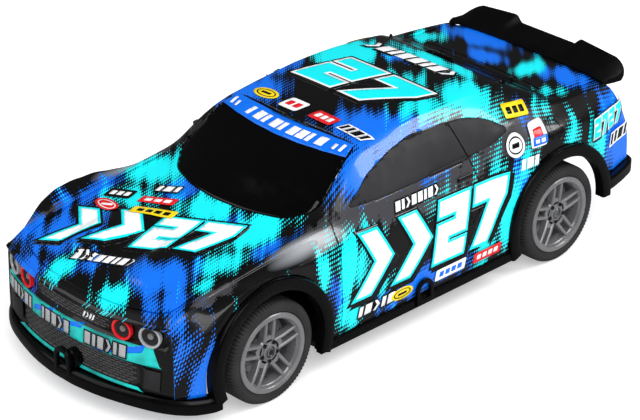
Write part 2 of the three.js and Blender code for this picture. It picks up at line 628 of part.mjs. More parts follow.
function tieRod() {
  const y = -AXLE_Y + STEERING_ARM;
  const eyeSlot = (x) => [[x - 1.7, y - 3], [x + 1.7, y - 3], [x + 1.7, y + 1.6], [x - 1.7, y + 1.6]];
  const eye = (x) => [[x - 2.7, y - 4.4], [x + 2.7, y - 4.4], [x + 2.7, y + 3], [x - 2.7, y + 3]];
  const solid = (points) => prism('z', points, TIE_ROD_BOTTOM, TIE_ROD_TOP);
  const bar = box(-TIE_ROD_X, TIE_ROD_X, y - 2.4, y + 1.8, TIE_ROD_BOTTOM, TIE_ROD_TOP);
  const middle = [[-4.4, y - 3.4], [4.4, y - 3.4], [4.4, y + 3.4], [-4.4, y + 3.4]];
  const middleSlot = [[-1.7, y - 2], [1.7, y - 2], [1.7, y + 2], [-1.7, y + 2]];
  const body = join(bar, solid(eye(TIE_ROD_X)), solid(eye(-TIE_ROD_X)), solid(middle));
  const slots = [eyeSlot(TIE_ROD_X), eyeSlot(-TIE_ROD_X), middleSlot];
  return cut(body, ...slots.map((points) => prism('z', points, TIE_ROD_BOTTOM - 1, TIE_ROD_TOP + 1)));
}

const HORN_BOTTOM = TIE_ROD_TOP + GAP;

function servoHorn() {
  const y = -AXLE_Y + STEERING_ARM;
  const root = circle(0, SERVO_Y, 3.4, 14, 0, Math.PI);
  const end = circle(0, y, 2, 10, Math.PI, 2 * Math.PI);
  const arm = prism('z', [...root, ...end], HORN_BOTTOM, HORN_BOTTOM + 2);
  const pin = rod('z', 0, y, STEERING_PIN, TIE_ROD_BOTTOM + GAP, HORN_BOTTOM + 1, 14);
  return join(arm, pin);
}

for (const [side, sign] of SIDES) {
  place(`kingpin_${side}`, onSide(kingpin(), sign), 'steel');
  place(`steering_knuckle_${side}`, onSide(knuckle(), sign), 'nylon');
}
place('tie_rod', tieRod(), 'steel');
place('servo_horn', servoHorn(), 'whiteNylon');

// The servo stands behind the tie rod; its output shaft comes up just behind the case's middle.
function servoCase() {
  const front = -AXLE_Y + STEERING_ARM + 5;
  const top = HORN_BOTTOM - 1.2;
  const [half, length] = [6, 24];
  const ears = box(-half - 5, half + 5, front + 3, front + length - 3, 20, 21.6);
  return join(box(-half, half, front, front + length, PLATE_TOP + GAP, top), ears,
    rod('z', 0, SERVO_Y, 2.4, top - 1, HORN_BOTTOM - GAP, 14));
}

place('servo_case', servoCase(), 'nylon');

// ---------------------------------------------------------------- rear drive

// Straight-sided teeth, thin enough to turn freely in mesh. A tooth points along phase.
function gearOutline(y, z, teeth, phase) {
  const pitchRadius = GEAR_MODULE * teeth / 2;
  const pitch = 2 * Math.PI / teeth;
  const root = pitchRadius - 1.2 * GEAR_MODULE;
  const tip = pitchRadius + 0.85 * GEAR_MODULE;
  const corners = [[root, -0.3], [tip, -0.09], [tip, 0.09], [root, 0.3]];
  return Array.from({ length: teeth }, (_, i) => corners.map(([radius, offset]) => {
    const angle = phase + (i + offset) * pitch;
    return [y + radius * Math.cos(angle), z + radius * Math.sin(angle)];
  })).flat();
}

const TOWARDS_MOTOR = Math.atan2(MOTOR_Z - AXLE_Z, MOTOR_Y - AXLE_Y);

function spurGear() {
  const outline = gearOutline(AXLE_Y, AXLE_Z, SPUR_TEETH, TOWARDS_MOTOR);
  const bore = circle(AXLE_Y, AXLE_Z, SHAFT_RADIUS + GAP, 16);
  return prism('x', outline, GEAR_X, GEAR_X + GEAR_WIDTH, [bore]);
}

// The pinion's gap faces the spur gear's tooth; it has the motor's shaft in one piece with it.
function motorPinion() {
  const halfPitch = Math.PI / PINION_TEETH;
  const outline = gearOutline(MOTOR_Y, MOTOR_Z, PINION_TEETH, TOWARDS_MOTOR + Math.PI + halfPitch);
  return join(prism('x', outline, GEAR_X, GEAR_X + GEAR_WIDTH),
    rod('x', MOTOR_Y, MOTOR_Z, MOTOR_SHAFT, MOTOR_BACK - 2.5, GEAR_X + GEAR_WIDTH + 1, 14));
}

function motor() {
  const radius = 10.2;
  const flat = 7.7;
  const can = rod('x', MOTOR_Y, MOTOR_Z, radius, MOTOR_BACK, MOTOR_FRONT, 32)
    .intersect(box(MOTOR_BACK, MOTOR_FRONT, MOTOR_Y - flat, MOTOR_Y + flat, 0, 60));
  const boss = rod('x', MOTOR_Y, MOTOR_Z, MOTOR_BOSS, MOTOR_BACK - 1.5, MOTOR_FRONT + 1, 18);
  const bore = rod('x', MOTOR_Y, MOTOR_Z, MOTOR_SHAFT + GAP, MOTOR_BACK - 2, MOTOR_FRONT + 2, 14);
  return cut(join(can, boss), bore);
}

// The gearbox is a cup round both gears, closed by a cover.
function gearboxOutline(grow) {
  const spur = GEAR_MODULE * SPUR_TEETH / 2 + 1 + grow;
  const pinion = GEAR_MODULE * PINION_TEETH / 2 + 1.6 + grow;
  const lean = Math.asin((spur - pinion) / GEAR_CENTRES);
  const reach = Math.PI / 2 - lean;
  return [
    ...circle(AXLE_Y, AXLE_Z, spur, 24, TOWARDS_MOTOR + reach, TOWARDS_MOTOR + 2 * Math.PI - reach),
    ...circle(MOTOR_Y, MOTOR_Z, pinion, 12, TOWARDS_MOTOR - reach, TOWARDS_MOTOR + reach),
  ];
}

function gearboxHoles(from, to) {
  return [
    rod('x', AXLE_Y, AXLE_Z, SHAFT_RADIUS + 1, from, to, 20),
    rod('x', MOTOR_Y, MOTOR_Z, MOTOR_BOSS + 0.4, from, to, 20),
  ];
}

function gearboxHousing() {
  const cup = prism('x', gearboxOutline(GEARBOX_WALL), GEARBOX_INNER - GEARBOX_BACK, GEARBOX_OUTER);
  const hollow = prism('x', gearboxOutline(0), GEARBOX_INNER, GEARBOX_OUTER + 1);
  return cut(cup, hollow, ...gearboxHoles(GEARBOX_INNER - GEARBOX_BACK - 1, GEARBOX_INNER + 1));
}

function gearboxCover() {
  const from = GEARBOX_OUTER + GAP;
  const sheet = prism('x', gearboxOutline(GEARBOX_WALL), from, from + COVER_THICK);
  return cut(sheet, ...gearboxHoles(from - 1, from + COVER_THICK + 1));
}

place('gearbox_housing', gearboxHousing(), 'nylon');
place('gearbox_cover', gearboxCover(), 'nylon');
place('motor', motor(), 'steel');
place('motor_pinion', motorPinion(), 'steel');
place('spur_gear', spurGear(), 'whiteNylon');
place('rear_axle', rod('x', AXLE_Y, AXLE_Z, SHAFT_RADIUS, -AXLE_HALF, AXLE_HALF), 'steel');

for (const [side, sign] of SIDES) {
  const [from, to] = [BEARING_X - BEARING_WIDTH / 2, BEARING_X + BEARING_WIDTH / 2];
  const bore = SHAFT_RADIUS + GAP;
  const ring = turned([[from, BEARING_RADIUS], [to, BEARING_RADIUS], [to, bore], [from, bore],
    [from, BEARING_RADIUS]], AXLE_Y, AXLE_Z, 24);
  place(`axle_bearing_${side}`, onSide(ring, sign), 'steel');
}

// ---------------------------------------------------------------- wheels

const WHEEL_INNER = WHEEL_OUTER - TYRE_WIDTH;
const LIP = 1.2;
const SPOKE_OFFSET = 2;                // from a pair's middle line to each of its spokes
const SPOKE_WIDTH = 1.5;
const SPOKE_DEPTH = 2.4;

function tyre(y) {
  const [inner, outer, r] = [WHEEL_INNER, WHEEL_OUTER, TYRE_RADIUS];
  const bead = RIM_RADIUS + GAP;
  const seat = BARREL_RADIUS + GAP;
  const step = LIP + GAP;
  return turned([[inner, bead], [inner, r - 1.4], [inner + 1.6, r], [outer - 1.6, r], [outer, r - 1.4],
    [outer, bead], [outer - step, bead], [outer - step, seat], [inner + step, seat], [inner + step, bead],
    [inner, bead]], y, AXLE_Z);
}

// Barrel with two lips, a hub, and five pairs of spokes; the spokes of a pair run side by side.
function rim(y) {
  const [inner, outer] = [WHEEL_INNER, WHEEL_OUTER];
  const inside = BARREL_RADIUS - LIP;
  const barrel = turned([[inner, inside], [inner, RIM_RADIUS], [inner + LIP, RIM_RADIUS],
    [inner + LIP, BARREL_RADIUS], [outer - LIP, BARREL_RADIUS], [outer - LIP, RIM_RADIUS],
    [outer, RIM_RADIUS], [outer, inside], [inner, inside]], y, AXLE_Z);
  const hub = rod('x', y, AXLE_Z, 5, outer - 7, outer - 1.6, 15);
  const spokes = [];
  for (let i = 0; i < 5; i += 1) {
    for (const split of [-1, 1]) {
      const angle = Math.PI / 2 + i * 2 * Math.PI / 5;
      const along = [Math.cos(angle), Math.sin(angle)];
      const at = (radius, offset) => [
        y + radius * along[0] - offset * along[1],
        AXLE_Z + radius * along[1] + offset * along[0],
      ];
      const [near, far] = [split * SPOKE_OFFSET - SPOKE_WIDTH / 2, split * SPOKE_OFFSET + SPOKE_WIDTH / 2];
      const outline = [at(3, near), at(inside + 0.4, near), at(inside + 0.4, far), at(3, far)];
      spokes.push(prism('x', outline, outer - 1 - SPOKE_DEPTH, outer - 1));
    }
  }
  return cut(join(barrel, hub, ...spokes), rod('x', y, AXLE_Z, SHAFT_RADIUS + GAP, inner, outer + 1, 12));
}

function brakeDisc(y) {
  return prism('x', circle(y, AXLE_Z, 12.4, 24), WHEEL_OUTER - 9, WHEEL_OUTER - 7.6,
    [circle(y, AXLE_Z, SHAFT_RADIUS + GAP, 16)]);
}

function wheelNut(y) {
  const start = WHEEL_OUTER - 1.6 + GAP;
  return cut(rod('x', y, AXLE_Z, 2.8, start, WHEEL_OUTER - 0.3, 6),
    rod('x', y, AXLE_Z, SHAFT_RADIUS + GAP, start - 1, WHEEL_OUTER - 0.8, 16));
}

for (const [end, y] of [['front', -AXLE_Y], ['rear', AXLE_Y]]) {
  for (const [side, sign] of SIDES) {
    place(`${end}_rim_${side}`, onSide(rim(y), sign), 'rim');
    place(`${end}_tyre_${side}`, onSide(tyre(y), sign), 'tyre');
    place(`${end}_brake_disc_${side}`, onSide(brakeDisc(y), sign), 'steel');
    place(`${end}_wheel_nut_${side}`, onSide(wheelNut(y), sign), 'steel');
  }
}

// ---------------------------------------------------------------- power and control

place('battery_pack', box(-BATTERY.x, BATTERY.x, BATTERY.front, BATTERY.rear, BATTERY.bottom,
  BATTERY.top), 'battery');

// A strap over the battery that swings up about a pivot on the car's left of it.
function batteryClamp() {
  const { x, z } = CLAMP_PIVOT;
  const [front, rear] = [-1.4, 11.4];
  const [reach, thick] = [3, 1.6];
  const latchX = -BATTERY.x - reach;
  const strap = box(latchX, x, front, rear, BATTERY.top + GAP, BATTERY.top + GAP + thick);
  const latch = box(latchX, latchX + thick, front + reach, rear - reach, BATTERY.top - 6, BATTERY.top + 1);
  return join(strap, latch, rod('y', x, z, 2, front, rear, 16));
}

place('battery_clamp', batteryClamp(), 'nylon');

// The board stands on four feet and carries a chip, a capacitor and two sockets.
function circuitBoard() {
  const [left, right, front, rear] = [27, 47, -34, 8];
  const [bottom, top] = [14, 15.6];
  const board = box(left, right, front, rear, bottom, top);
  const parts = [[30, 38, -28, -18, 18], [31, 35, -10, -4, 22], [38, 44, -8, 4, 20], [40, 45, -30, -22, 20]]
    .map(([x0, x1, y0, y1, height]) => box(x0, x1, y0, y1, top - SINK, height));
  const feet = [left + 2, right - 2].flatMap((x) => [front + 2, rear - 2].map((y) =>
    rod('z', x, y, 1.4, PLATE_TOP + GAP, bottom + SINK, 10)));
  return join(board, ...parts, ...feet);
}

place('circuit_board', circuitBoard(), 'board');
place('antenna_wire', cable([[45, 4, 24], [46, 14, 28], [44, 24, 36], [40, 34, 44]], 0.6), 'cable');
place('battery_cable', cable([[8, -30.8, 24], [12, -36, 24], [24, -37, 22], [34, -36, 19],
  [42, -35, 18]], 1), 'cable');
place('motor_cable', cable([[-28, MOTOR_Y - 5, MOTOR_Z], [-30, 50, 24], [-22, 46, 20], [10, 46, 20],
  [36, 30, 18], [36, 9, 18]], 1), 'cable');

function switchHousing() {
  const { x, y, travel } = SWITCH;
  const middle = y + travel / 2;
  const [half, length, top, wall] = [6, 8, 18, 2];
  return cut(box(x - half, x + half, middle - length, middle + length, PLATE_TOP + GAP, top),
    box(x - half + wall, x + half - wall, middle - length + wall, middle + length - wall, PLATE_TOP,
      top - 1.6));
}

function switchSlider() {
  const { x, y } = SWITCH;
  const half = SWITCH_KNOB / 2;
  return join(box(x - half, x + half, y - half, y + half, PLATE_BOTTOM + GAP, 12),
    box(x - half - 1.5, x + half + 1.5, y - half - 1.1, y + half + 1.1, PLATE_TOP + 0.7, 15));
}

place('switch_housing', switchHousing(), 'nylon');
place('power_switch_slider', switchSlider(), 'redLens');

export default car;
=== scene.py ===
"""The looks of the remote control car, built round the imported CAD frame."""

import json
import math

import bmesh
import bpy
import numpy as np
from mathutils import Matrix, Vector
from mathutils.bvhtree import BVHTree


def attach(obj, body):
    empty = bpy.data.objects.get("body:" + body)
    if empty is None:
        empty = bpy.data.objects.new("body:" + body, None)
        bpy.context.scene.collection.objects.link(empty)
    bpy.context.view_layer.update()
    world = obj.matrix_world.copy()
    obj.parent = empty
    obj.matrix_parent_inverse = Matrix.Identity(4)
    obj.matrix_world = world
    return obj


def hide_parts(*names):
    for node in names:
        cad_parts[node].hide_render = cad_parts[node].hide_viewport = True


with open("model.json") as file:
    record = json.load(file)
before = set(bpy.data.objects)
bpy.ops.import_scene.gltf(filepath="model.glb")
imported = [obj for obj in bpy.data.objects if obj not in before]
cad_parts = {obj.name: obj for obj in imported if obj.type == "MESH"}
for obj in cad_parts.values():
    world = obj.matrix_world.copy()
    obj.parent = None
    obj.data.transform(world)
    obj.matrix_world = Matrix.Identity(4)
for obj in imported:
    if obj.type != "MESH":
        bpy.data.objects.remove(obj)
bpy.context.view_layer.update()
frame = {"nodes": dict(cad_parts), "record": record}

# ---------------------------------------------------------------- driving sizes, in millimetres

MM = 0.001
TURN = 2 * math.pi
AXLE_Y = 80
TYRE_RADIUS = 21
AXLE_Z = TYRE_RADIUS
WHEEL_OUTER = 57
TYRE_WIDTH = 16
WHEEL_INNER = WHEEL_OUTER - TYRE_WIDTH
RIM_RADIUS = 16.3
BARREL_RADIUS = 15
GAP = 0.3
SHELL_WALL = 1.4
ARCH_RADIUS = 25.5
FLARE_RADIUS = 30.6
HALF_LENGTH = 135
HALF_WIDTH = 58.5
TRIM_INNER = 54
SKIRT_HALF = 57.6
SKIRT_TOP = 15
SKIRT_BOTTOM = 10.3
SPLITTER_BOTTOM = 8
SPLITTER_TOP = 13.8
NOSE = -131
TAIL = 132.5
SIDES = (("left", 1), ("right", -1))
ENDS = (("front", -AXLE_Y), ("rear", AXLE_Y))


# ---------------------------------------------------------------- materials

def srgb(code):
    """Linear colour of a web colour such as 0x0066ff."""
    def linear(channel):
        c = channel / 255
        return c / 12.92 if c <= 0.04045 else ((c + 0.055) / 1.055) ** 2.4
    return (linear(code >> 16 & 255), linear(code >> 8 & 255), linear(code & 255), 1.0)


class Nodes:
    """Short names for building the node tree of a material or of the world."""

    def __init__(self, owner, surface="Principled BSDF"):
        self.owner = owner
        self.owner.use_nodes = True
        self.tree = owner.node_tree
        self.surface = self.tree.nodes[surface]

    def add(self, kind, **settings):
        node = self.tree.nodes.new("ShaderNode" + kind)
        for key, value in settings.items():
            setattr(node, key, value)
        return node

    def plug(self, value, socket):
        """Links an output to the socket, or sets the socket to a plain value."""
        if hasattr(value, "links"):
            self.tree.links.new(value, socket)
        else:
            socket.default_value = value

    def finish(self, **looks):
        """Plugs values into the surface; a socket's name is written with low lines for spaces."""
        for name, value in looks.items():
            self.plug(value, self.surface.inputs[name.replace("_", " ")])
        return self.owner

    def math(self, operation, *values):
        node = self.add("Math", operation=operation)
        for value, socket in zip(values, node.inputs):
            self.plug(value, socket)
        return node.outputs[0]

    def mix(self, factor, low, high):
        node = self.add("Mix", data_type="RGBA")
        for value, place in ((factor, 0), (low, 6), (high, 7)):
            self.plug(value, node.inputs[place])
        return node.outputs[2]

    def ramp(self, value, low, high, to_low=0.0, to_high=1.0):
        node = self.add("MapRange")
        for item, socket in zip((value, low, high, to_low, to_high), node.inputs):
            self.plug(item, socket)
        return node.outputs[0]

    def stretched(self, vector, scale):
        node = self.add("Mapping")
        self.plug(vector, node.inputs["Vector"])
        self.plug(scale, node.inputs["Scale"])
        return node.outputs[0]

    def place(self):
        return self.add("TexCoord").outputs["Object"]

    def noise(self, scale, detail, vector=None):
        node = self.add("TexNoise")
        self.plug(scale, node.inputs["Scale"])
        self.plug(detail, node.inputs["Detail"])
        self.plug(vector or self.place(), node.inputs["Vector"])
        return node.outputs["Fac"]

    def attribute(self, name):
        return self.add("Attribute", attribute_name=name).outputs["Fac"]

    def bump(self, height, distance):
        node = self.add("Bump")
        self.plug(distance, node.inputs["Distance"])
        self.plug(height, node.inputs["Height"])
        self.plug(1.0, node.inputs["Strength"])
        return node.outputs[0]


def tinted(colour, factor):
    """The colour made darker or lighter by a factor."""
    return tuple(min(1.0, c * factor) for c in colour[:3]) + (1.0,)


def plastic(name, colour, rough, grain=0.00003, grain_scale=2500, spread=0.12, metal=0.0, coat=0.0,
            shine=0.3):
    """Moulded plastic or painted metal: fine grain, slight colour and gloss variation."""
    n = Nodes(bpy.data.materials.new(name))
    base = srgb(colour)
    cloud = n.ramp(n.noise(90, 3), 0.35, 0.65)
    return n.finish(
        Base_Color=n.mix(cloud, tinted(base, 1 - spread), tinted(base, 1 + spread)),
        Roughness=n.ramp(n.noise(260, 3), 0.3, 0.7, rough - 0.05, rough + 0.07),
        Metallic=metal, Coat_Weight=coat, Specular_IOR_Level=shine,
        Normal=n.bump(n.noise(grain_scale, 2), grain))


def brushed(name, colour):
    """Turned metal with fine rings of scratches."""
    n = Nodes(bpy.data.materials.new(name))
    streak = n.noise(1800, 4, n.stretched(n.place(), (3, 1, 1)))
    base = srgb(colour)
    return n.finish(
        Base_Color=n.mix(streak, tinted(base, 0.75), base),
        Roughness=n.ramp(streak, 0.3, 0.7, 0.22, 0.42),
        Metallic=1.0, Normal=n.bump(streak, 0.00001))


DOT_ACROSS = 0.022               # period of the printed dots, in the decimetres of the print map
DOT_DOWN = 0.034
DOT_WEIGHT = 0.26                # of the dots, against the strength of a patch
STREAK_WEIGHT = 0.38
RAGGED_WEIGHT = 0.05
STREAKS = (3.2, 0.5, 1)          # noise is squeezed across the streaks and drawn out along them
PRINT_BLUE = 0x0070ee
PRINT_CYAN = 0x00eef6


def livery():
    """Gloss print: black, blue and cyan patches whose edges break up into streaks and dots; grey patches with
    the same streaks and dots, and a smooth whitish sweep, are painted highlights laid into it.
    """
    n = Nodes(bpy.data.materials.new("livery"))
    sheet = n.add("UVMap", uv_map="sheet").outputs[0]
    along = n.stretched(sheet, STREAKS)
    broad = n.ramp(n.noise(4.6, 1, along), 0.25, 0.75, -STREAK_WEIGHT, STREAK_WEIGHT)
    fine = n.ramp(n.noise(22, 0, along), 0.3, 0.7, -RAGGED_WEIGHT, RAGGED_WEIGHT)
    streak = n.math("ADD", broad, fine)
    parts = n.add("SeparateXYZ")
    n.plug(sheet, parts.inputs[0])
    across = n.math("MULTIPLY", parts.outputs[0], TURN / DOT_ACROSS)
    down = n.math("MULTIPLY", parts.outputs[1], TURN / DOT_DOWN)
    rising = n.math("SINE", n.math("ADD", across, down))
    falling = n.math("SINE", n.math("SUBTRACT", across, down))
    dots = n.math("MULTIPLY", n.math("MULTIPLY", rising, falling), DOT_WEIGHT)

    def patch(name, use_dots=1.0):
        level = n.math("ADD", n.attribute(name), streak)
        level = n.math("ADD", level, n.math("MULTIPLY", dots, use_dots))
        return n.ramp(level, 0.495, 0.505)

    # Grey: painted highlight on the crests and shoulder facets, with the print's streaks and half its dots.
    colour = n.mix(patch("grey", 0.5), srgb(0x08080a), srgb(0x414145))
    # Whitish sweep: painted highlight, a smooth gradient where the front fender crest catches the light.
    colour = n.mix(n.ramp(n.attribute("pale_highlight"), 0.25, 1.0), colour, srgb(0xc8ccd2))
    colour = n.mix(patch("blue"), colour, srgb(PRINT_BLUE))
    colour = n.mix(patch("cyan"), colour, srgb(PRINT_CYAN))
    return n.finish(Base_Color=colour, Roughness=0.34, Specular_IOR_Level=0.3, Coat_Weight=0.45,
                    Coat_Roughness=0.05, Normal=n.bump(n.noise(700, 2), 0.000015))


def ink(name, colour, spread=0.04, rough=0.25):
    """Smooth gloss ink of a printed mark."""
    return plastic("print_" + name, colour, rough, grain=0.000004, spread=spread, coat=0.4)


LIVERY = livery()
GLASS = plastic("window_black", 0x040405, 0.12, grain=0.000005, coat=0.25, shine=0.15)
# Side windows: dark glass coloured grey as a painted reflection of the white floor, which looks dark in the
# car's gloss.
SIDE_GLASS_PAINTED_REFLECTION = plastic("window_grey_painted_reflection", 0x2c2c2e, 0.4, grain=0.000005, shine=0.12)
TRIM = plastic("trim_black", 0x050506, 0.24, grain=0.00001, spread=0.2, coat=0.1, shine=0.14)
MATT = plastic("spoiler_black", 0x050506, 0.5, spread=0.2, shine=0.12)
CHARCOAL = plastic("grille_black", 0x262527, 0.5, spread=0.2)
TEAL = plastic("bumper_teal", 0x0db4ae, 0.4, spread=0.4, grain_scale=900)
TYRE = plastic("tyre_rubber", 0x2b2b2c, 0.8, grain=0.00008, grain_scale=1600, spread=0.15)
RIM = plastic("rim_grey", 0x8c8c8e, 0.3, metal=0.5, spread=0.08, coat=0.3)
DISC = plastic("disc_grey", 0x9a9a9c, 0.35, metal=0.5, spread=0.15)
STEEL = brushed("steel", 0xa9adb2)
NYLON = plastic("nylon_black", 0x1c1d1f, 0.55)
WHITE_NYLON = plastic("nylon_white", 0xdad6cc, 0.45)
BATTERY = plastic("battery_wrap", 0x2247a6, 0.35, coat=0.2)
BOARD = plastic("circuit_board", 0x14603a, 0.4, spread=0.3)
CABLE = plastic("cable_red", 0xa01c1c, 0.5)
RED_LENS = plastic("red_lens", 0xa01010, 0.12, grain=0.00001, coat=0.6)
GRILLE_BAR = plastic("grille_bar", 0x4b4a4b, 0.45, spread=0.2)
SILVER = plastic("bright_silver", 0xc2c5c8, 0.3, metal=0.4, spread=0.08)
WHITE = ink("white", 0xf4f6f8, spread=0.02)
CYAN = ink("cyan", PRINT_CYAN)
BLUE = ink("blue", PRINT_BLUE)
BLACK = ink("black", 0x0a0a0c, spread=0.1, rough=0.22)
RED = ink("red", 0xe01c24)
YELLOW = ink("yellow", 0xf6d812)

CAD_FINISH = {"steel": STEEL, "black_nylon": NYLON, "white_nylon": WHITE_NYLON, "battery_wrap": BATTERY,
              "circuit_board": BOARD, "cable": CABLE, "red_lens": RED_LENS, "grey_rim": RIM,
              "rubber_tyre": TYRE, "black_trim": TRIM, "headlight": RIM, "dark_window": GLASS,
              "body_livery": LIVERY}
SLOT_OF = {part["node"]: part["material_slot"] for part in frame["record"]["subparts"]}
BODY_OF = {node: body for body, nodes in frame["record"]["behaviour"]["bodies"].items() for node in nodes}

for node_name, node in frame["nodes"].items():
    finish = RIM if "wheel_nut" in node_name else CAD_FINISH[SLOT_OF[node_name]]
    node.data.materials.clear()
    node.data.materials.append(finish)


# ---------------------------------------------------------------- mesh helpers

def add_object(name, data):
    item = bpy.data.objects.new(name, data)
    bpy.context.collection.objects.link(item)
    return item


def finish_piece(bm, name, material, node, instead=False, smooth_angle=35):
    """Turns a mesh in millimetres into a piece that rides with a CAD node, or is shown instead of it."""
    bmesh.ops.scale(bm, vec=(MM, MM, MM), verts=bm.verts)
    mesh = bpy.data.meshes.new(name)
    for face in bm.faces:
        face.smooth = True
    bm.to_mesh(mesh)
    bm.free()
    mesh.set_sharp_from_angle(angle=math.radians(smooth_angle))
    for item in material if isinstance(material, (list, tuple)) else [material]:
        mesh.materials.append(item)
    piece = add_object(name, mesh)
    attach(piece, BODY_OF[node])
    if instead:
        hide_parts(node)
    return piece


def add_wall(piece, thickness):
    """Gives an open skin a wall on its inner side."""
    wall = piece.modifiers.new("wall", "SOLIDIFY")
    wall.thickness = thickness * MM
    wall.offset = -1


def join_rings(bm, rings, capped=True):
    """Faces between neighbouring rings of points, and over both ends."""
    for ring, after in zip(rings, rings[1:]):
        for j in range(len(ring)):
            k = (j + 1) % len(ring)
            bm.faces.new((ring[j], ring[k], after[k], after[j]))
    if capped:
        bm.faces.new(rings[0][::-1])
        bm.faces.new(rings[-1])


def lathe(bm, profile, y, z, count, start=0.0, end=TURN, wobble=None, sign=1):
    """Turns a closed outline of (x, radius) points about the X axis through (y, z)."""
    full = end - start > TURN - 1e-6
    rings = []
    for i in range(count if full else count + 1):
        angle = start + (end - start) * i / count
        ring = []
        for j, (x, radius) in enumerate(profile):
            r = radius if wobble is None else wobble(i, j, radius)
            ring.append(bm.verts.new((sign * x, y + r * math.cos(angle), z + r * math.sin(angle))))
        rings.append(ring)
    join_rings(bm, rings + rings[:1] if full else rings, capped=not full)


def fix_normals(bm):
    bmesh.ops.recalc_face_normals(bm, faces=bm.faces)


def smooth_line(rows):
    """A smooth line through (place, value, ...) rows that never overshoots them."""
    table = np.array(rows, float)
    places, values = table[:, 0], table[:, 1:]
    steps = np.diff(places)
    slopes = np.diff(values, axis=0) / steps[:, None]
    tangents = np.zeros_like(values)
    tangents[0], tangents[-1] = slopes[0], slopes[-1]
    before, after = slopes[:-1], slopes[1:]
    same = before * after > 0
    safe = np.where(same, before + after, 1)
    tangents[1:-1] = np.where(same, 2 * before * after / safe, 0)

    def value(s):
        s = np.clip(s, places[0], places[-1])
        i = np.clip(np.searchsorted(places, s) - 1, 0, len(steps) - 1)
        t = ((s - places[i]) / steps[i])[..., None]
        r = 1 - t
        h = steps[i][..., None]
        return (values[i] * r * r * (1 + 2 * t) + values[i + 1] * t * t * (3 - 2 * t)
                + h * t * r * (tangents[i] * r - tangents[i + 1] * t))
    return value


# ---------------------------------------------------------------- body surface

# The same lines that the CAD body is lofted through: place, then x and z, or z alone.
CENTRE = smooth_line([(NOSE, 43), (-126, 45.3), (-110, 48.6), (-90, 51.6), (-60, 55.2), (-38, 66.8),
                      (-15, 77), (0, 79), (20, 80), (52, 79.2), (66, 77.2), (76, 72.3), (90, 66.2),
                      (122, 64.6), (128, 55), (TAIL, 46)])
RAIL = smooth_line([(NOSE, 42.8), (-126, 46), (-94, 52.2), (-60, 55.8), (-38, 66.2), (-15, 76.1),
                    (13, 78.8), (21, 79.1), (40, 78.8), (54, 77.7), (66, 76.2), (76, 71.8), (90, 65.8),
                    (122, 63.4), (128, 54.5), (TAIL, 45.8)])
EDGE = smooth_line([(NOSE, 45.5, 42.5), (-126, 42, 46), (-103, 42.5, 51.2), (-75, 42.6, 54.8),
                    (-60, 42.8, 56.4), (-38, 41, 65.5), (-15, 35.7, 75.3), (5, 36.5, 76.6), (30, 37, 77),
                    (60, 36, 76), (76, 38.5, 71), (91, 41, 65.1), (121, 40, 62.8), (128, 40, 54),
                    (TAIL, 40, 45.4)])
CREASE = smooth_line([(NOSE, 47.2, 42.2), (-122, 46.8, 47.6), (-99, 46.8, 50.9), (-84, 46.8, 52.6),
                      (-70, 47, 54.6), (-56, 47.6, 55.6), (-38, 48.6, 57.4), (-1, 50, 59),
                      (34, 50, 59.6), (51, 50, 65.2), (79, 48, 64.9), (122, 46, 61.4), (129, 47, 53),
                      (TAIL, 48, 44.6)])
SHOULDER = smooth_line([(NOSE, 47.8, 38), (-124, 50.5, 41), (-118, 53.4, 44.5), (-110, 55.2, 49.8),
                        (-102, 55.7, 52.4), (-89, 55.7, 52.6), (-80, 54.8, 51.2), (-71, 53.6, 49.6),
                        (-60, 52.8, 49.2), (-30, 52.6, 51), (40, 52.8, 52.5), (58, 54, 57),
                        (80, 56, 57.5), (104, 53.5, 56), (122, 50, 55), (TAIL, 48.8, 43)])
WAIST = smooth_line([(NOSE, 48, 30), (-124, 52.6, 37), (-119, 55.2, 39.5), (-104, 57, 42),
                     (-50, 55.2, 40), (40, 55.2, 40), (60, 57, 42), (100, 56.4, 42), (122, 51.4, 42),
                     (TAIL, 49.6, 38)])
FLANK = smooth_line([(NOSE, 48.2, 22), (-124, 53, 24), (-119, 55.4, 24), (-104, 57, 24), (88, 57, 24),
                     (102, 56.8, 31), (116, 54, 31), (TAIL, 50, 31)])
SILL = smooth_line([(NOSE, 48.2, 14.3), (-124, 53, 14.3), (-119, 55.4, 14.8), (-104, 57, 15.3),
                    (88, 57, 15.3), (102, 56.6, 27.6), (116, 54, 27.6), (TAIL, 50, 27.6)])
SWEEP = smooth_line([(NOSE, 10), (-60, 18), (-15, 2), (20, 0), (90, 0), (TAIL, -3)])
SWEEP_X = 47
EDGE_ROW = 3                     # the place of EDGE in a half section


def swept_y(s, x):
    """Front or rear place of the skin at x, where each section bends back towards the sides."""
    return s + SWEEP(s)[..., 0] * (np.minimum(np.abs(x), SWEEP_X) / SWEEP_X) ** 2.2


def half_section(s):
    """Corner points of the left half cross-section at s, from the centre down to the sill."""
    edge, crease = EDGE(s), CREASE(s)
    centre, rail = CENTRE(s)[..., 0], RAIL(s)[..., 0]
    bow = 0.5
    rows = [
        np.stack([0 * centre, centre], -1),
        np.stack([edge[..., 0] * 0.5, centre * 0.8 + rail * 0.2], -1),
        np.stack([edge[..., 0] * 0.92, rail], -1),
        edge,
        edge + (crease - edge) * 0.3 + bow,
        edge + (crease - edge) * 0.7 + bow,
        crease, SHOULDER(s), WAIST(s), FLANK(s), SILL(s),
    ]
    return np.stack(rows, -2)


SUBDIVISIONS = 6                 # of each stretch between two corner points
SECTION_STEP = 1.6


def fine_half_section(s):
    """The half cross-section rounded through its corner points."""
    corners = half_section(np.array(s))
    reach = np.concatenate([[0], np.cumsum(np.hypot(*np.diff(corners, axis=0).T))])
    line = smooth_line(np.column_stack([reach, corners]))
    t = np.concatenate([np.linspace(reach[i], reach[i + 1], SUBDIVISIONS, endpoint=False)
                        for i in range(len(reach) - 1)] + [reach[-1:]])
    return np.column_stack([line(t), t])


def soft_step(value, low, high):
    """Rises smoothly from 0 at low to 1 at high."""
    t = np.clip((value - low) / (high - low), 0, 1)
    return t * t * (3 - 2 * t)


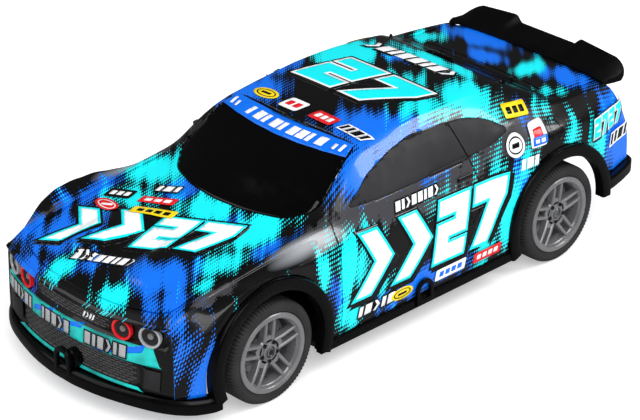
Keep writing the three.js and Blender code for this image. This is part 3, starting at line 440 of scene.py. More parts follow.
def nose_relief(x, z):
    """How far the nose face lies behind its plain surface: lamp band, bumper bar, lower intake."""
    def band(low, high, soft=0.8):
        return soft_step(z, low, low + soft) * soft_step(-z, -high, soft - high)
    side = np.clip((46.2 - np.abs(x)) / 1.2, 0, 1)
    low_side = np.clip((36.5 - np.abs(x)) / 1.5, 0, 1)
    lamp_band, bar, intake = band(34.8, 42.2), band(25.6, 35.2, 1.5), band(15.2, 25.4)
    return side * (1.6 * lamp_band - bar) + 1.6 * low_side * intake


def hood_relief(x, y, z):
    """Two raised ridges on the hood, each starting at a scoop."""
    across = np.abs(x)
    ridge = soft_step(across, 7.5, 11.5) * (1 - soft_step(across, 22, 27))
    along = soft_step(y, -114.5, -111.0) * (1 - soft_step(y, -104, -66))
    return np.where(z > 44, 1.9 * ridge * along, 0.0)


def body_grid():
    """Outer skin of the body as one open mesh, with print coordinates on every vertex."""
    bm = bmesh.new()
    girth_layer = bm.verts.layers.float.new("girth")
    places = np.concatenate([[NOSE, NOSE + 0.4, NOSE + 1.0], np.arange(NOSE + 2.2, TAIL - 1, SECTION_STEP),
                             [TAIL - 0.5, TAIL]])

    def vertex(x, y, z, girth):
        v = bm.verts.new((x, y, z))
        v[girth_layer] = girth
        return v

    rings, halves = [], []
    for s in places:
        half = fine_half_section(s)
        halves.append(half)
        y = swept_y(np.array(s), half[:, 0])
        half[:, 1] += hood_relief(half[:, 0], y, half[:, 1])
        left = [vertex(x, yy, z, t) for (x, z, t), yy in zip(half, y)]
        right = [vertex(-x, yy, z, -t) for (x, z, t), yy in zip(half[1:], y[1:])]
        rings.append(left[::-1] + right)
    for a, b in zip(rings, rings[1:]):
        for j in range(len(a) - 1):
            bm.faces.new((a[j], a[j + 1], b[j + 1], b[j]))

    def cap(s, ring, half, relief):
        edge = EDGE_ROW * SUBDIVISIONS
        middle = len(half) - 1
        across = half[:edge + 1, 0] / half[edge, 0]
        across = np.concatenate([across[::-1], -across[1:]])
        above = ring[middle - edge:middle + edge + 1]
        for j in range(edge + 1, len(half)):
            x, z = half[j, :2]
            row = []
            for k, f in enumerate(across):
                if k == 0:
                    row.append(ring[middle - j])
                elif k == len(across) - 1:
                    row.append(ring[middle + j])
                else:
                    y = float(swept_y(np.array(s), x * f)) + float(relief(x * f, z))
                    row.append(vertex(x * f, y, z, x * f))
            for k in range(len(row) - 1):
                bm.faces.new((above[k], row[k], row[k + 1], above[k + 1]))
            above = row

    cap(NOSE, rings[0], halves[0], nose_relief)
    cap(TAIL, rings[-1], halves[-1], lambda x, z: 0.0)
    fix_normals(bm)
    return bm


PLANES = ((1, 2), (0, 2), (0, 1))    # the two other axes, for each of 0 (X), 1 (Y) and 2 (Z)
PAD = 2.2                        # more than the size of a face of the skin


def cut_along(bm, outline, axis, keep):
    """Splits the kept faces along an outline drawn on the plane across an axis."""
    u, v = PLANES[axis]
    for p, q in zip(outline, outline[1:] + outline[:1]):
        start = Vector((0, 0, 0))
        start[u], start[v] = p
        along = Vector((0, 0, 0))
        along[u], along[v] = q[0] - p[0], q[1] - p[1]
        if along.length < 1e-6:
            continue
        normal = along.cross(Vector([1.0 if k == axis else 0.0 for k in range(3)])).normalized()
        low = (min(p[0], q[0]) - PAD, min(p[1], q[1]) - PAD)
        high = (max(p[0], q[0]) + PAD, max(p[1], q[1]) + PAD)
        faces = []
        for face in bm.faces:
            c = face.calc_center_median()
            if low[0] < c[u] < high[0] and low[1] < c[v] < high[1] and keep(c):
                faces.append(face)
        edges = {edge for face in faces for edge in face.edges}
        verts = {vert for face in faces for vert in face.verts}
        bmesh.ops.bisect_plane(bm, geom=list(verts) + list(edges) + faces, dist=1e-4,
                               plane_co=start, plane_no=normal)


def inside(point, outline):
    x, y = point
    hit = False
    for (x0, y0), (x1, y1) in zip(outline, outline[1:] + outline[:1]):
        if (y0 > y) != (y1 > y) and x < (x1 - x0) * (y - y0) / (y1 - y0) + x0:
            hit = not hit
    return hit


def faces_within(bm, outline, axis, keep):
    u, v = PLANES[axis]
    found = []
    for face in bm.faces:
        c = face.calc_center_median()
        if keep(c) and inside((c[u], c[v]), outline):
            found.append(face)
    return found


def arc(u, v, radius, count, start=0.0, end=TURN):
    """Points along an arc, or round a whole circle."""
    steps = count if end - start > TURN - 1e-6 else count + 1
    turns = [start + (end - start) * i / count for i in range(steps)]
    return [(u + radius * math.cos(turn), v + radius * math.sin(turn)) for turn in turns]


def rounded(outline, radius, count=4):
    """The outline with its corners rounded."""
    points = []
    for i, corner in enumerate(outline):
        before, after = outline[i - 1], outline[(i + 1) % len(outline)]
        c = np.array(corner, float)
        a = np.array(before) - c
        b = np.array(after) - c
        reach = min(radius, np.hypot(*a) * 0.45, np.hypot(*b) * 0.45)
        start, end = c + a / np.hypot(*a) * reach, c + b / np.hypot(*b) * reach
        for k in range(count + 1):
            t = k / count
            points.append(tuple(start * (1 - t) ** 2 + 2 * c * t * (1 - t) + end * t * t))
    return points


WINDSHIELD = rounded([(-39.5, -39), (-33.6, -13.2), (0, -15.6), (33.6, -13.2), (39.5, -39), (31, -50),
                      (15, -55.6), (0, -57), (-15, -55.6), (-31, -50)], 5)
REAR_WINDOW = rounded([(31, 66.5), (36.5, 88), (0, 90), (-36.5, 88), (-31, 66.5), (0, 67)], 3)
SIDE_WINDOW = rounded([(-31.5, 59.8), (33, 60.4), (45, 62.6), (55.5, 65.8), (48.5, 70.6), (40, 73),
                       (27, 74.2), (9, 74.8), (-3, 72.6), (-18, 68)], 3)
LAMPS = (("outer", 38.6, 4.6), ("inner", 27.2, 4.4))    # kind, x, radius
LAMP_Z = 38.5
LAMP_FORWARD = 1.7               # how far the lamps stand before the plain nose
BACKWARD = (0, 1, 0)
FORWARD = (0, -1, 0)
DOWN = (0, 0, -1)


def ribbon(line, width):
    """A closed outline round a line of points."""
    points = np.array(line, float)
    along = np.gradient(points, axis=0)
    across = np.column_stack([-along[:, 1], along[:, 0]]) / np.hypot(along[:, 0], along[:, 1])[:, None]
    left, right = points + across * width / 2, points - across * width / 2
    return [tuple(p) for p in left] + [tuple(p) for p in right[::-1]]


SHUT_WIDTH = 0.7
SHUT_DEPTH = 0.8


def groove(bm, line, axis, keep):
    """Presses a shut line into the skin."""
    outline = ribbon(line, SHUT_WIDTH)
    cut_along(bm, outline, axis, keep)
    found = faces_within(bm, outline, axis, keep)
    bm.normal_update()
    outward = sum((f.normal for f in found), Vector()).normalized()
    made = bmesh.ops.extrude_face_region(bm, geom=found, use_keep_orig=False)
    moved = [v for v in made["geom"] if isinstance(v, bmesh.types.BMVert)]
    normals = {v: v.normal.copy() for v in moved}
    bmesh.ops.delete(bm, geom=[f for f in found if f.is_valid], context="FACES")
    for v in moved:
        v.co -= (normals[v] if normals[v].length > 0.5 else outward) * SHUT_DEPTH


def smooth_path(points, count):
    """Points along a Catmull-Rom curve through a few corner points."""
    p = [np.array(q, float) for q in points]
    p = [2 * p[0] - p[1]] + p + [2 * p[-1] - p[-2]]
    path = []
    for a, b, c, d in zip(p, p[1:], p[2:], p[3:]):
        for k in range(count):
            t = k / count
            path.append(0.5 * (2 * b + (c - a) * t + (2 * a - 5 * b + 4 * c - d) * t * t
                               + (3 * b - 3 * c + d - a) * t ** 3))
    return path + [p[-2]]


# Shut lines: the doors' in y and z; the hood's and the trunk lid's in x and y, from one side to the middle.
DOOR_FRONT = [(-39.5, 57.6), (-41.5, 50), (-43.6, 34), (-44.6, 17)]
DOOR_REAR = [(29.5, 73.4), (32.7, 58.5), (35.3, 49), (34.6, 42), (29.5, 28), (25.4, 17)]
HOOD_LINE = [(42.6, -44.5), (42.8, -61), (42.6, -80), (42.6, -98), (42, -112), (40, -117.6), (34, -121),
             (20, -125), (0, -126.6)]
TRUNK_LINE = [(40, 119), (40.4, 112), (41.2, 96), (38.6, 91.2), (25, 92.6), (0, 93.5)]


def mirrored(half):
    """A line that runs from one side to the middle, carried on to the other side."""
    return [(-x, y) for x, y in half] + half[-2::-1]


def on_top(c):
    return c.z > 53


def beside_window(c):
    return c.z > 58 and abs(c.x) > 33


def over_wheel(c):
    return abs(c.x) > TRIM_INNER - GAP and c.z < 54


def on_deck(c):
    return c.z > 44 and c.y < 121


def body_shell():
    """The printed shell before it gets its wall: wheel openings, window outlines and shut lines."""
    bm = body_grid()
    reach = FLARE_RADIUS + GAP
    for y in (-AXLE_Y, AXLE_Y):
        opening = arc(y, AXLE_Z, reach, 36, 0, math.pi) + [(y - reach, 10), (y + reach, 10)]
        cut_along(bm, opening, 0, over_wheel)
        bmesh.ops.delete(bm, geom=faces_within(bm, opening, 0, over_wheel), context="FACES")
    for outline in (WINDSHIELD, REAR_WINDOW):
        cut_along(bm, outline, 2, on_top)
    cut_along(bm, SIDE_WINDOW, 0, beside_window)
    for line in (HOOD_LINE, TRUNK_LINE):
        groove(bm, smooth_path(mirrored(line), 4), 2, on_deck)
    for _, sign in SIDES:
        for line in (DOOR_FRONT, DOOR_REAR):
            groove(bm, smooth_path(line, 3), 0, lambda c: sign * c.x > 33)
    return bm


WINDOW_GAP = 0.35


def window_piece(bm, outline, axis, keep, name, material, node):
    """Lifts the faces inside an outline off the shell and makes them a separate insert."""
    found = faces_within(bm, outline, axis, keep)
    part = bmesh.new()
    known = {}
    for face in found:
        corners = []
        for vert in face.verts:
            if vert not in known:
                known[vert] = part.verts.new(vert.co)
            corners.append(known[vert])
        part.faces.new(corners)
    bmesh.ops.delete(bm, geom=found, context="FACES")
    part.normal_update()
    rim = [v for v in part.verts if v.is_boundary]
    centre = sum((v.co for v in rim), Vector()) / len(rim)
    for v in rim:
        v.co += (centre - v.co).normalized() * WINDOW_GAP
    add_wall(finish_piece(part, name, material, node, instead=True), SHELL_WALL)


def add_print_map(bm):
    """Print coordinates in decimetres: across the streaks, and along them."""
    layer = bm.loops.layers.uv.new("sheet")
    girth = bm.verts.layers.float["girth"]
    shoulder = 46                # girth where the streaks start to lean
    lean = 0.35
    for face in bm.faces:
        for loop in face.loops:
            t = loop.vert[girth]
            top = max(-shoulder, min(shoulder, t))
            across = loop.vert.co.y + top + lean * (t - top)
            loop[layer].uv = (across / 100, t / 100)


# Patches of print: colour, centre (x, y, z), reach (x, y, z), strength. Weak ones print as dots. The grey
# patches and the whitish sweep are painted highlights, not print.
HOOD_PRINT = [
    ("cyan", (-38, -56, 54), (11, 13, 14), 0.95), ("cyan", (2, -63, 54), (12, 10, 10), 0.95),
    ("cyan", (28, -60, 53), (9, 19, 10), 1.0), ("cyan", (35, -84, 53), (8, 12, 12), 0.85),
    ("cyan", (-29, -76, 54), (12, 10, 10), 0.95), ("cyan", (-14, -126, 47), (6, 11, 8), 0.95),
    ("cyan", (17, -124, 48), (7, 8, 8), 0.95), ("cyan", (40, -98, 50), (5, 8, 8), 0.6),
    ("blue", (-30, -107, 50), (13, 20, 14), 0.95), ("blue", (-24, -129, 46), (14, 9, 12), 0.95),
    ("blue", (25, -105, 50), (13, 13, 12), 1.0), ("blue", (37, -113, 47), (9, 11, 12), 0.85),
    ("blue", (14, -68, 54), (13, 12, 10), 0.75), ("blue", (-16, -60, 54), (9, 8, 10), 0.85),
    ("blue", (40, -66, 56), (6, 16, 8), 0.7), ("blue", (-44, -80, 52), (8, 26, 10), 0.75),
    ("blue", (46, -116, 44), (8, 10, 8), 0.6), ("blue", (30, -92, 51), (9, 9, 8), 0.6),
    ("blue", (-6, -116, 49), (6, 9, 8), 0.7), ("blue", (-44, -112, 46), (9, 12, 10), 0.7),
]
ROOF_PRINT = [
    ("blue", (-31, -10, 78), (16, 14, 14), 1.0), ("blue", (28, -4, 78), (18, 14, 12), 1.0),
    ("blue", (36, 10, 76), (10, 22, 10), 0.9), ("blue", (-12, 52, 79), (12, 8, 8), 0.85),
    ("blue", (41, -18, 70), (9, 18, 14), 0.95), ("blue", (-36, 12, 77), (9, 20, 8), 0.75),
    ("cyan", (-26, 40, 79), (16, 18, 12), 1.0), ("cyan", (32, 26, 79), (10, 13, 10), 0.85),
    ("cyan", (34, 46, 78), (14, 15, 14), 1.0), ("cyan", (4, 62, 78), (26, 7, 9), 0.85),
    ("cyan", (8, 36, 79), (12, 9, 8), 0.7), ("cyan", (44, 52, 70), (9, 12, 8), 0.6),
    ("cyan", (-37, 97, 65), (8, 8, 9), 0.95), ("blue", (-22, 113, 65), (20, 9, 10), 1.0),
    ("blue", (-4, 100, 65), (12, 7, 9), 0.9), ("blue", (30, 110, 64), (15, 9, 9), 0.95),
    ("cyan", (16, 104, 65), (6, 12, 8), 0.8), ("cyan", (37, 94, 65), (6, 8, 8), 0.7),
]
SIDE_PRINT_AND_HIGHLIGHTS = [
    ("cyan", (54, -38, 42), (12, 10, 14), 1.0), ("cyan", (54, -27, 50), (12, 9, 7), 0.6),
    ("cyan", (54, 48, 36), (12, 8, 22), 1.0), ("cyan", (54, -52, 44), (10, 5, 11), 0.8),
    ("cyan", (54, 20, 46), (12, 10, 7), 0.4), ("cyan", (54, -22, 30), (12, 9, 8), 0.6),
    ("cyan", (54, -40, 22), (12, 8, 8), 0.9), ("cyan", (54, 36, 22), (12, 10, 8), 0.7),
    ("cyan", (50, 89, 51), (14, 7, 10), 0.95), ("cyan", (50, 103, 46), (12, 7, 11), 0.9),
    ("cyan", (48, 78, 66), (12, 8, 7), 0.55), ("cyan", (52, 60, 50), (12, 10, 9), 0.6),
    ("blue", (54, 4, 22), (12, 32, 7), 1.0), ("blue", (54, 56, 42), (12, 7, 20), 0.85),
    ("blue", (50, 125, 38), (16, 15, 22), 1.15), ("blue", (54, -46, 34), (12, 6, 12), 0.85),
    ("blue", (52, 6, 60), (10, 20, 3), 0.35), ("blue", (50, 116, 52), (14, 12, 10), 0.9),
    ("blue", (53, -111, 20), (9, 9, 16), 1.0), ("blue", (50, -114, 36), (9, 8, 10), 0.6),
    ("blue", (46, 66, 68), (10, 10, 7), 0.5),
    # Whitish sweep on the front fender crest: painted highlight.
    ("pale_highlight", (50, -58, 54.5), (6, 22, 3.4), 0.9),
    # Grey patches: painted highlights on the belt below the side window, on the rear quarter and on the front
    # fender.
    ("grey", (52, -6, 58), (14, 46, 9), 1.1), ("grey", (50, 60, 62), (14, 24, 12), 0.95),
    ("grey", (50, -44, 56), (9, 16, 5), 1.0), ("grey", (47, -104, 50), (4, 16, 3), 1.0),
]
TAIL_PRINT = [
    ("blue", (20, 131, 52), (34, 14, 12), 1.0), ("cyan", (-26, 131, 42), (16, 14, 14), 0.95),
    ("cyan", (30, 131, 38), (12, 14, 10), 0.8), ("blue", (-44, 131, 50), (14, 14, 14), 1.0),
]
# The same patches on the car's right, painted highlights included.
FAR_SIDE_PRINT = [(colour, (-x, y, z), reach, strength)
                  for colour, (x, y, z), reach, strength in SIDE_PRINT_AND_HIGHLIGHTS]
PATCHES = HOOD_PRINT + ROOF_PRINT + SIDE_PRINT_AND_HIGHLIGHTS + FAR_SIDE_PRINT + TAIL_PRINT


def paint_levels(bm):
    """How strongly each colour of the print, and each painted highlight, is present at every vertex."""
    layers = {name: bm.verts.layers.float.new(name) for name in ("grey", "pale_highlight", "blue", "cyan")}
    points = np.array([v.co for v in bm.verts])
    for name, layer in layers.items():
        level = np.full(len(points), 0.0)
        for colour, centre, reach, strength in PATCHES:
            if colour == name:
                away = ((points - np.array(centre)) / np.array(reach)) ** 2
                level = np.maximum(level, strength * np.exp(-away.sum(axis=1)))
        for vert, value in zip(bm.verts, level):
            vert[layer] = value


def make_body():
    """Makes shell and windows; returns the plain skin, on which films and lamps are laid."""
    plain = body_grid()
    surface = BVHTree.FromBMesh(plain)
    plain.free()
    bm = body_shell()
    window_piece(bm, WINDSHIELD, 2, on_top, "windshield_glass", GLASS, "windshield")
    window_piece(bm, REAR_WINDOW, 2, on_top, "rear_window_glass", GLASS, "rear_window")
    for side, sign in SIDES:
        window_piece(bm, SIDE_WINDOW, 0, lambda c: beside_window(c) and sign * c.x > 0,
                     f"side_glass_{side}", SIDE_GLASS_PAINTED_REFLECTION, f"side_window_{side}")
    add_print_map(bm)
    paint_levels(bm)
    piece = finish_piece(bm, "printed_shell", LIVERY, "body_shell", instead=True, smooth_angle=40)
    add_wall(piece, SHELL_WALL)
    return surface


BODY_SURFACE = make_body()


# ---------------------------------------------------------------- printed marks

SHAPES = {
    "2": [(0, 1), (0.75, 1), (0.75, 0.38), (0.3, 0.38), (0.3, 0.26), (0.75, 0.26), (0.75, 0), (0, 0),
          (0, 0.62), (0.45, 0.62), (0.45, 0.75), (0, 0.75)],
    "7": [(0, 1), (0.78, 1), (0.78, 0.7), (0.46, 0), (0.1, 0), (0.42, 0.72), (0, 0.72)],
    ">": [(0, 1), (0.36, 1), (0.8, 0.5), (0.36, 0), (0, 0), (0.42, 0.5)],
    "/": [(0, 1), (0.5, 1), (0.5, 0), (0, 0)],
    "=": [(0, 1), (0.9, 1), (0.9, 0), (0, 0)],
}


def placed(points, start, turn):
    """Points turned about the origin, then moved to start."""
    c, d = math.cos(turn), math.sin(turn)
    return [(start[0] + c * u - d * v, start[1] + d * u + c * v) for u, v in points]


def shape_row(text, height, start, gap=0.14, slant=0.28, turn=0.0, stretch=1.0):
    """Outlines of a row of plain shapes, slanted, then turned and moved into place."""
    outlines = []
    x = 0.0
    for key in text:
        shape = SHAPES[key]
        row = [((x + u * stretch + slant * v) * height, v * height) for u, v in shape]
        x += max(u for u, _ in shape) * stretch + gap
        outlines.append(placed(row, start, turn))
    return outlines


def ellipse(u, v, width, height):
    return [(u + x * width / 2, v + y * height / 2) for x, y in arc(0, 0, 1, 28)]


def slanted_box(u, v, width, height, slant=0.25, turn=0.0):
    corners = [(across * width / 2 + slant * up * height / 2, up * height / 2)
               for across, up in ((-1, -1), (1, -1), (1, 1), (-1, 1))]
    return rounded(placed(corners, (u, v), turn), min(width, height) * 0.18, 3)


def filled_outlines(outlines, merge, **settings):
    """A mesh of the flat shape inside some outlines; an outline within another one is a hole."""
    curve = bpy.data.curves.new("outline", "CURVE")
    curve.dimensions = "2D"
    curve.fill_mode = "BOTH"
    for key, value in settings.items():
        setattr(curve, key, value)
    for outline in outlines:
        spline = curve.splines.new("POLY")
        spline.points.add(len(outline) - 1)
        for item, (u, v) in zip(spline.points, outline):
            item.co = (u, v, 0, 1)
        spline.use_cyclic_u = True
    holder = add_object("outline", curve)
    bpy.context.view_layer.update()
    mesh = bpy.data.meshes.new_from_object(holder)
    bpy.data.objects.remove(holder)
    bm = bmesh.new()
    bm.from_mesh(mesh)
    bpy.data.meshes.remove(mesh)
    bmesh.ops.remove_doubles(bm, verts=bm.verts, dist=merge)
    return bm


FILM_GRID = 1.25                 # every film is cut along the same grid, so that films lie flat on each other
FILM_THICK = 0.03
FIRST_LIFT = 0.125               # of a sheet's lowest film above the skin
NEXT_LIFT = 0.025                # of each film above the one below it
FAR = 200                        # how far out the rays start that find a place on the skin


def flat_film(outlines, grow):
    """A filled flat mesh of the outlines, grown outward by a margin and cut along the film grid."""
    facing = []
    for outline in outlines:
        area = sum(a[0] * b[1] - b[0] * a[1] for a, b in zip(outline, outline[1:] + outline[:1]))
        facing.append(outline if area < 0 else outline[::-1])
    bm = filled_outlines(facing, 0.01, offset=grow)
    bmesh.ops.dissolve_limit(bm, angle_limit=0.01, verts=bm.verts, edges=bm.edges)
    for axis, normal in enumerate((Vector((1, 0, 0)), Vector((0, 1, 0)))):
        low = min(v.co[axis] for v in bm.verts)
        high = max(v.co[axis] for v in bm.verts)
        for k in range(math.ceil(low / FILM_GRID), math.floor(high / FILM_GRID) + 1):
            bmesh.ops.bisect_plane(bm, geom=bm.verts[:] + bm.edges[:] + bm.faces[:], dist=1e-5,
                                   plane_co=normal * k * FILM_GRID, plane_no=normal)
    return bm


def copy_faces(source, bm):
    """Adds the faces of another mesh, which is then freed; returns the new faces."""
    known = {v: bm.verts.new(v.co) for v in source.verts}
    made = [bm.faces.new([known[v] for v in face.verts]) for face in source.faces]
    source.free()
    return made


class Sheet:
    """Printed film laid on one part of the body: a list of shapes, each with its own colour."""

    def __init__(self, name, node, direction, thick=FILM_THICK, instead=False):
        self.name = name
        self.node = node
        self.thick = thick
        self.instead = instead
        self.direction = Vector(direction)
        self.bm = bmesh.new()
        self.inks = []
        self.lift = FIRST_LIFT

    def ray_start(self, u, w):
        """A place outside the body; u runs to the right as seen along the ray."""
        ahead = self.direction
        if ahead.z:
            place = Vector((u, w, 0))
        elif ahead.x:
            place = Vector((0, -u * ahead.x, w))
        else:
            place = Vector((u * ahead.y, 0, w))
        return place - ahead * FAR

    def lay(self, outlines, colour, grow=0.0, shift=(0, 0), lift=None):
        part = flat_film([[(u + shift[0], v + shift[1]) for u, v in line] for line in outlines], grow)
        if colour not in self.inks:
            self.inks.append(colour)
        height = self.lift if lift is None else lift
        self.lift += NEXT_LIFT
        for v in part.verts:
            hit, normal, _, _ = BODY_SURFACE.ray_cast(self.ray_start(v.co.x, v.co.y), self.direction)
            if normal.dot(self.direction) > 0:
                normal = -normal
            v.co = hit + normal * height
        for face in copy_faces(part, self.bm):
            face.material_index = self.inks.index(colour)

    def lay_word(self, outlines, back, colour, grow=0.6, shift=(0, 0)):
        """A row of shapes on a wider copy of itself."""
        self.lay(outlines, back, grow=grow, shift=shift)
        self.lay(outlines, colour)

    def done(self):
        self.bm.normal_update()
        for face in self.bm.faces:
            if face.normal.dot(self.direction) > 0:
                face.normal_flip()
        add_wall(finish_piece(self.bm, self.name, self.inks, self.node, self.instead), self.thick)


def badge(sheet, u, v, width, height, base, colour, bars, turn=0.0):
    """A small sticker: a plain slanted box with a few generic bars on it."""
    sheet.lay([slanted_box(u, v, width, height, turn=turn)], base)
    pitch = width * 0.8 / bars
    for k in range(bars):
        [(x, y)] = placed([((k - (bars - 1) / 2) * pitch, 0)], (u, v), turn)
        sheet.lay([slanted_box(x, y, pitch * 0.72, height * 0.46, turn=turn)], colour)


def round_badge(sheet, u, v, width, height, base, colour, turn=0.0):
    """A round sticker with a ring and one bar."""
    sheet.lay([ellipse(u, v, width, height)], base)
    sheet.lay([ellipse(u, v, width * 0.78, height * 0.72)], colour)
    sheet.lay([ellipse(u, v, width * 0.68, height * 0.58)], base)
    sheet.lay([slanted_box(u, v, width * 0.4, height * 0.2, turn=turn)], colour)


def big_mark(sheet, outlines, fill, edge, margin=1.1, drop=(1.2, -1.6)):
    """Outlined shapes on a black shadow."""
    sheet.lay(outlines, BLACK, grow=margin * 1.7, shift=drop)
    sheet.lay(outlines, BLACK, grow=margin * 1.9)
    sheet.lay(outlines, edge, grow=margin)
    sheet.lay(outlines, fill)


def hood_print():
    sheet = Sheet("hood_print", "body_shell", DOWN)
    turn = math.radians(27)
    big_mark(sheet, shape_row(">>27", 21, (-33, -114), gap=0.16, turn=turn, stretch=0.86), WHITE, CYAN)
    sheet.lay_word(shape_row("=>/==/=>", 4.2, (-14.5, -117), turn=math.radians(23), gap=0.2, stretch=0.75),
                   BLACK, WHITE, grow=0.7)
    badge(sheet, -33.5, -76, 11, 6.4, BLACK, WHITE, 3, turn)
    badge(sheet, -17.5, -70.6, 15, 4.8, RED, WHITE, 3, turn)
    badge(sheet, -12, -77.6, 18, 5.0, YELLOW, BLACK, 4, turn)
    round_badge(sheet, -31, -85, 12, 6.6, RED, WHITE, turn)
    sheet.lay_word(shape_row("/=/", 3.6, (-24, -66.5), turn=turn, gap=0.35), BLACK, WHITE)
    sheet.done()


def roof_print():
    sheet = Sheet("roof_print", "body_shell", DOWN)
    big_mark(sheet, shape_row("27", 25, (-27, 11), gap=0.16, stretch=1.1), CYAN, WHITE)
    sheet.lay_word(shape_row(">=/==/=>", 6.6, (-27, 50.5), turn=math.radians(2), gap=0.22, stretch=0.85),
                   BLACK, WHITE, grow=0.8, shift=(0.5, -0.8))
    round_badge(sheet, -22.5, -8.6, 13, 6.6, YELLOW, BLACK)
    badge(sheet, -6.5, -8.6, 10, 7.4, WHITE, RED, 2)
    badge(sheet, 10.5, -8.6, 12, 6, RED, WHITE, 3)
    striped_bars(sheet, 3.8, (20, -10.4))
    sheet.done()


def striped_bars(sheet, height, start):
    """Leaning black bars with a white edge."""
    bars = shape_row("//=/", height, start, gap=0.3, slant=0.5)
    sheet.lay(bars, WHITE, grow=0.6)
    sheet.lay(bars, BLACK, grow=-0.05)


def sun_strip():
    """Blue band with white blocks along the top of the windshield; its edges are parabolas."""
    strip = Sheet("sun_strip", "windshield", DOWN)
    edge = [(x, 2.6 * (x / 33) ** 2 - 16.6) for x in (-32.4, -24, -12, 0, 12, 24, 32.4)]
    foot = [(x, 4.6 * (x / 35) ** 2 - 25.2) for x in (34.6, 24, 12, 0, -12, -24, -34.6)]
    strip.lay([edge + foot], BLUE)
    rise, half = 3.6, 34
    for k, sign in enumerate("/=/=/==/="):
        x = -21 + k * 4.9
        start = (x, rise * (x / half) ** 2 - 23.2)
        strip.lay(shape_row(sign, 4.4, start, slant=0.25, turn=math.atan(2 * rise * x / half ** 2)), WHITE)
    for x, z, height in ((-30.6, -18.2, 3.8), (-27.6, -19.2, 2.8), (27.2, -19.2, 2.8), (30.4, -18.2, 3.8)):
        strip.lay([slanted_box(x, z, 1.5, height, slant=0.0)], WHITE)
    strip.done()


def side_print(side, sign):
    """On the car's left the row runs front to rear; on its right, rear to front."""
    sheet = Sheet(f"side_print_{side}", "body_shell", (-sign, 0, 0))

    def place(y, width=0):
        """Where a mark of this width starts, for its front end at y."""
        return y if sign > 0 else -y - width

    big_mark(sheet, shape_row(">>27", 23.5, (place(-37, 81), 27), gap=0.16, turn=math.radians(-1),
                              stretch=0.93), WHITE, CYAN)
    sheet.lay_word(shape_row("=/>==/=>", 3.6, (place(-11, 29), 53.2), gap=0.22, stretch=0.8), BLACK, WHITE)
    sheet.lay_word(shape_row("/=>/=", 4.0, (place(-36, 4), 18.8), gap=0.3), BLACK, WHITE)
    round_badge(sheet, place(-12), 20.4, 12, 5, YELLOW, BLACK)
    badge(sheet, place(15), 20.6, 17, 4.6, WHITE, BLUE, 4)
    badge(sheet, place(36), 20.2, 16, 4.2, RED, WHITE, 4)
    round_badge(sheet, place(55.4), 59.3, 9.4, 9.4, WHITE, BLACK)
    badge(sheet, place(68), 60.2, 8.6, 8.6, WHITE, RED, 1)
    badge(sheet, place(68), 58.0, 7.4, 3.0, BLUE, WHITE, 2)
    badge(sheet, place(63), 69.6, 13, 4.4, YELLOW, BLACK, 3, math.radians(-8 * sign))
    sheet.lay(shape_row("/=/", 3.6, (place(56, 5), 49.4), gap=0.3), WHITE, grow=0.2)
    big_mark(sheet, shape_row("2727", 7.2, (place(99.5, 25), 48.2), gap=0.16, stretch=0.85), CYAN, WHITE,
             margin=0.45, drop=(0.4, -0.6))
    striped_bars(sheet, 4.2, (place(112, 12), 40.4))
    sheet.lay([ellipse(place(78), 59.6, size, size) for size in (7.8, 7.0)], BLACK)
    sheet.done()
    handle = Sheet(f"door_handle_{side}", "body_shell", (-sign, 0, 0), thick=0.9)
    handle.lay([slanted_box(place(27.5), 54.6, 8, 1.5, slant=0.3 * sign)], BLACK, lift=0.85)
    handle.done()


hood_print()
roof_print()
sun_strip()
for side, sign in SIDES:
    side_print(side, sign)


# ---------------------------------------------------------------- wheels

SPOKE_PAIRS = 5
SPOKE_OFFSET = 2                 # from a pair's middle line to each of its spokes


def rim_spoke(bm, y, angle, split):
    """One slim spoke with a soft front edge, leaning in towards the hub."""
    along = Vector((0, math.cos(angle), math.sin(angle)))
    side = Vector((0, -math.sin(angle), math.cos(angle)))
    rings = []
    for radius, half, face in ((3, 0.85, 2.5), (8, 0.7, 1.5), (BARREL_RADIUS - 0.8, 0.62, 0.9)):
        centre = along * radius + side * split * SPOKE_OFFSET
        ring = []
        for across, back in ((-1, 3.2), (-1, 0.4), (-0.55, 0), (0.55, 0), (1, 0.4), (1, 3.2)):
            place = centre + side * across * half
            ring.append(bm.verts.new((WHEEL_OUTER - face - back, y + place.y, AXLE_Z + place.z)))
        rings.append(ring)
    join_rings(bm, rings)


def spoke_web(bm, y, angle):
    """The plate between the two spokes of a pair, next to the hub."""
    outline = [(r * math.cos(angle + t), r * math.sin(angle + t))
               for r, t in ((4.4, -0.42), (6.4, -0.3), (7, 0), (6.4, 0.3), (4.4, 0.42))]
    join_rings(bm, [[bm.verts.new((WHEEL_OUTER - depth, y + v, AXLE_Z + w)) for v, w in outline]
                    for depth in (2.3, 4.6)])


def wheel_piece(bm, sign, name, material, node, instead=True):
    """A part built for a left wheel, mirrored for a right one."""
    if sign < 0:
        bmesh.ops.scale(bm, vec=(-1, 1, 1), verts=bm.verts)
    fix_normals(bm)
    finish_piece(bm, name, material, node, instead)


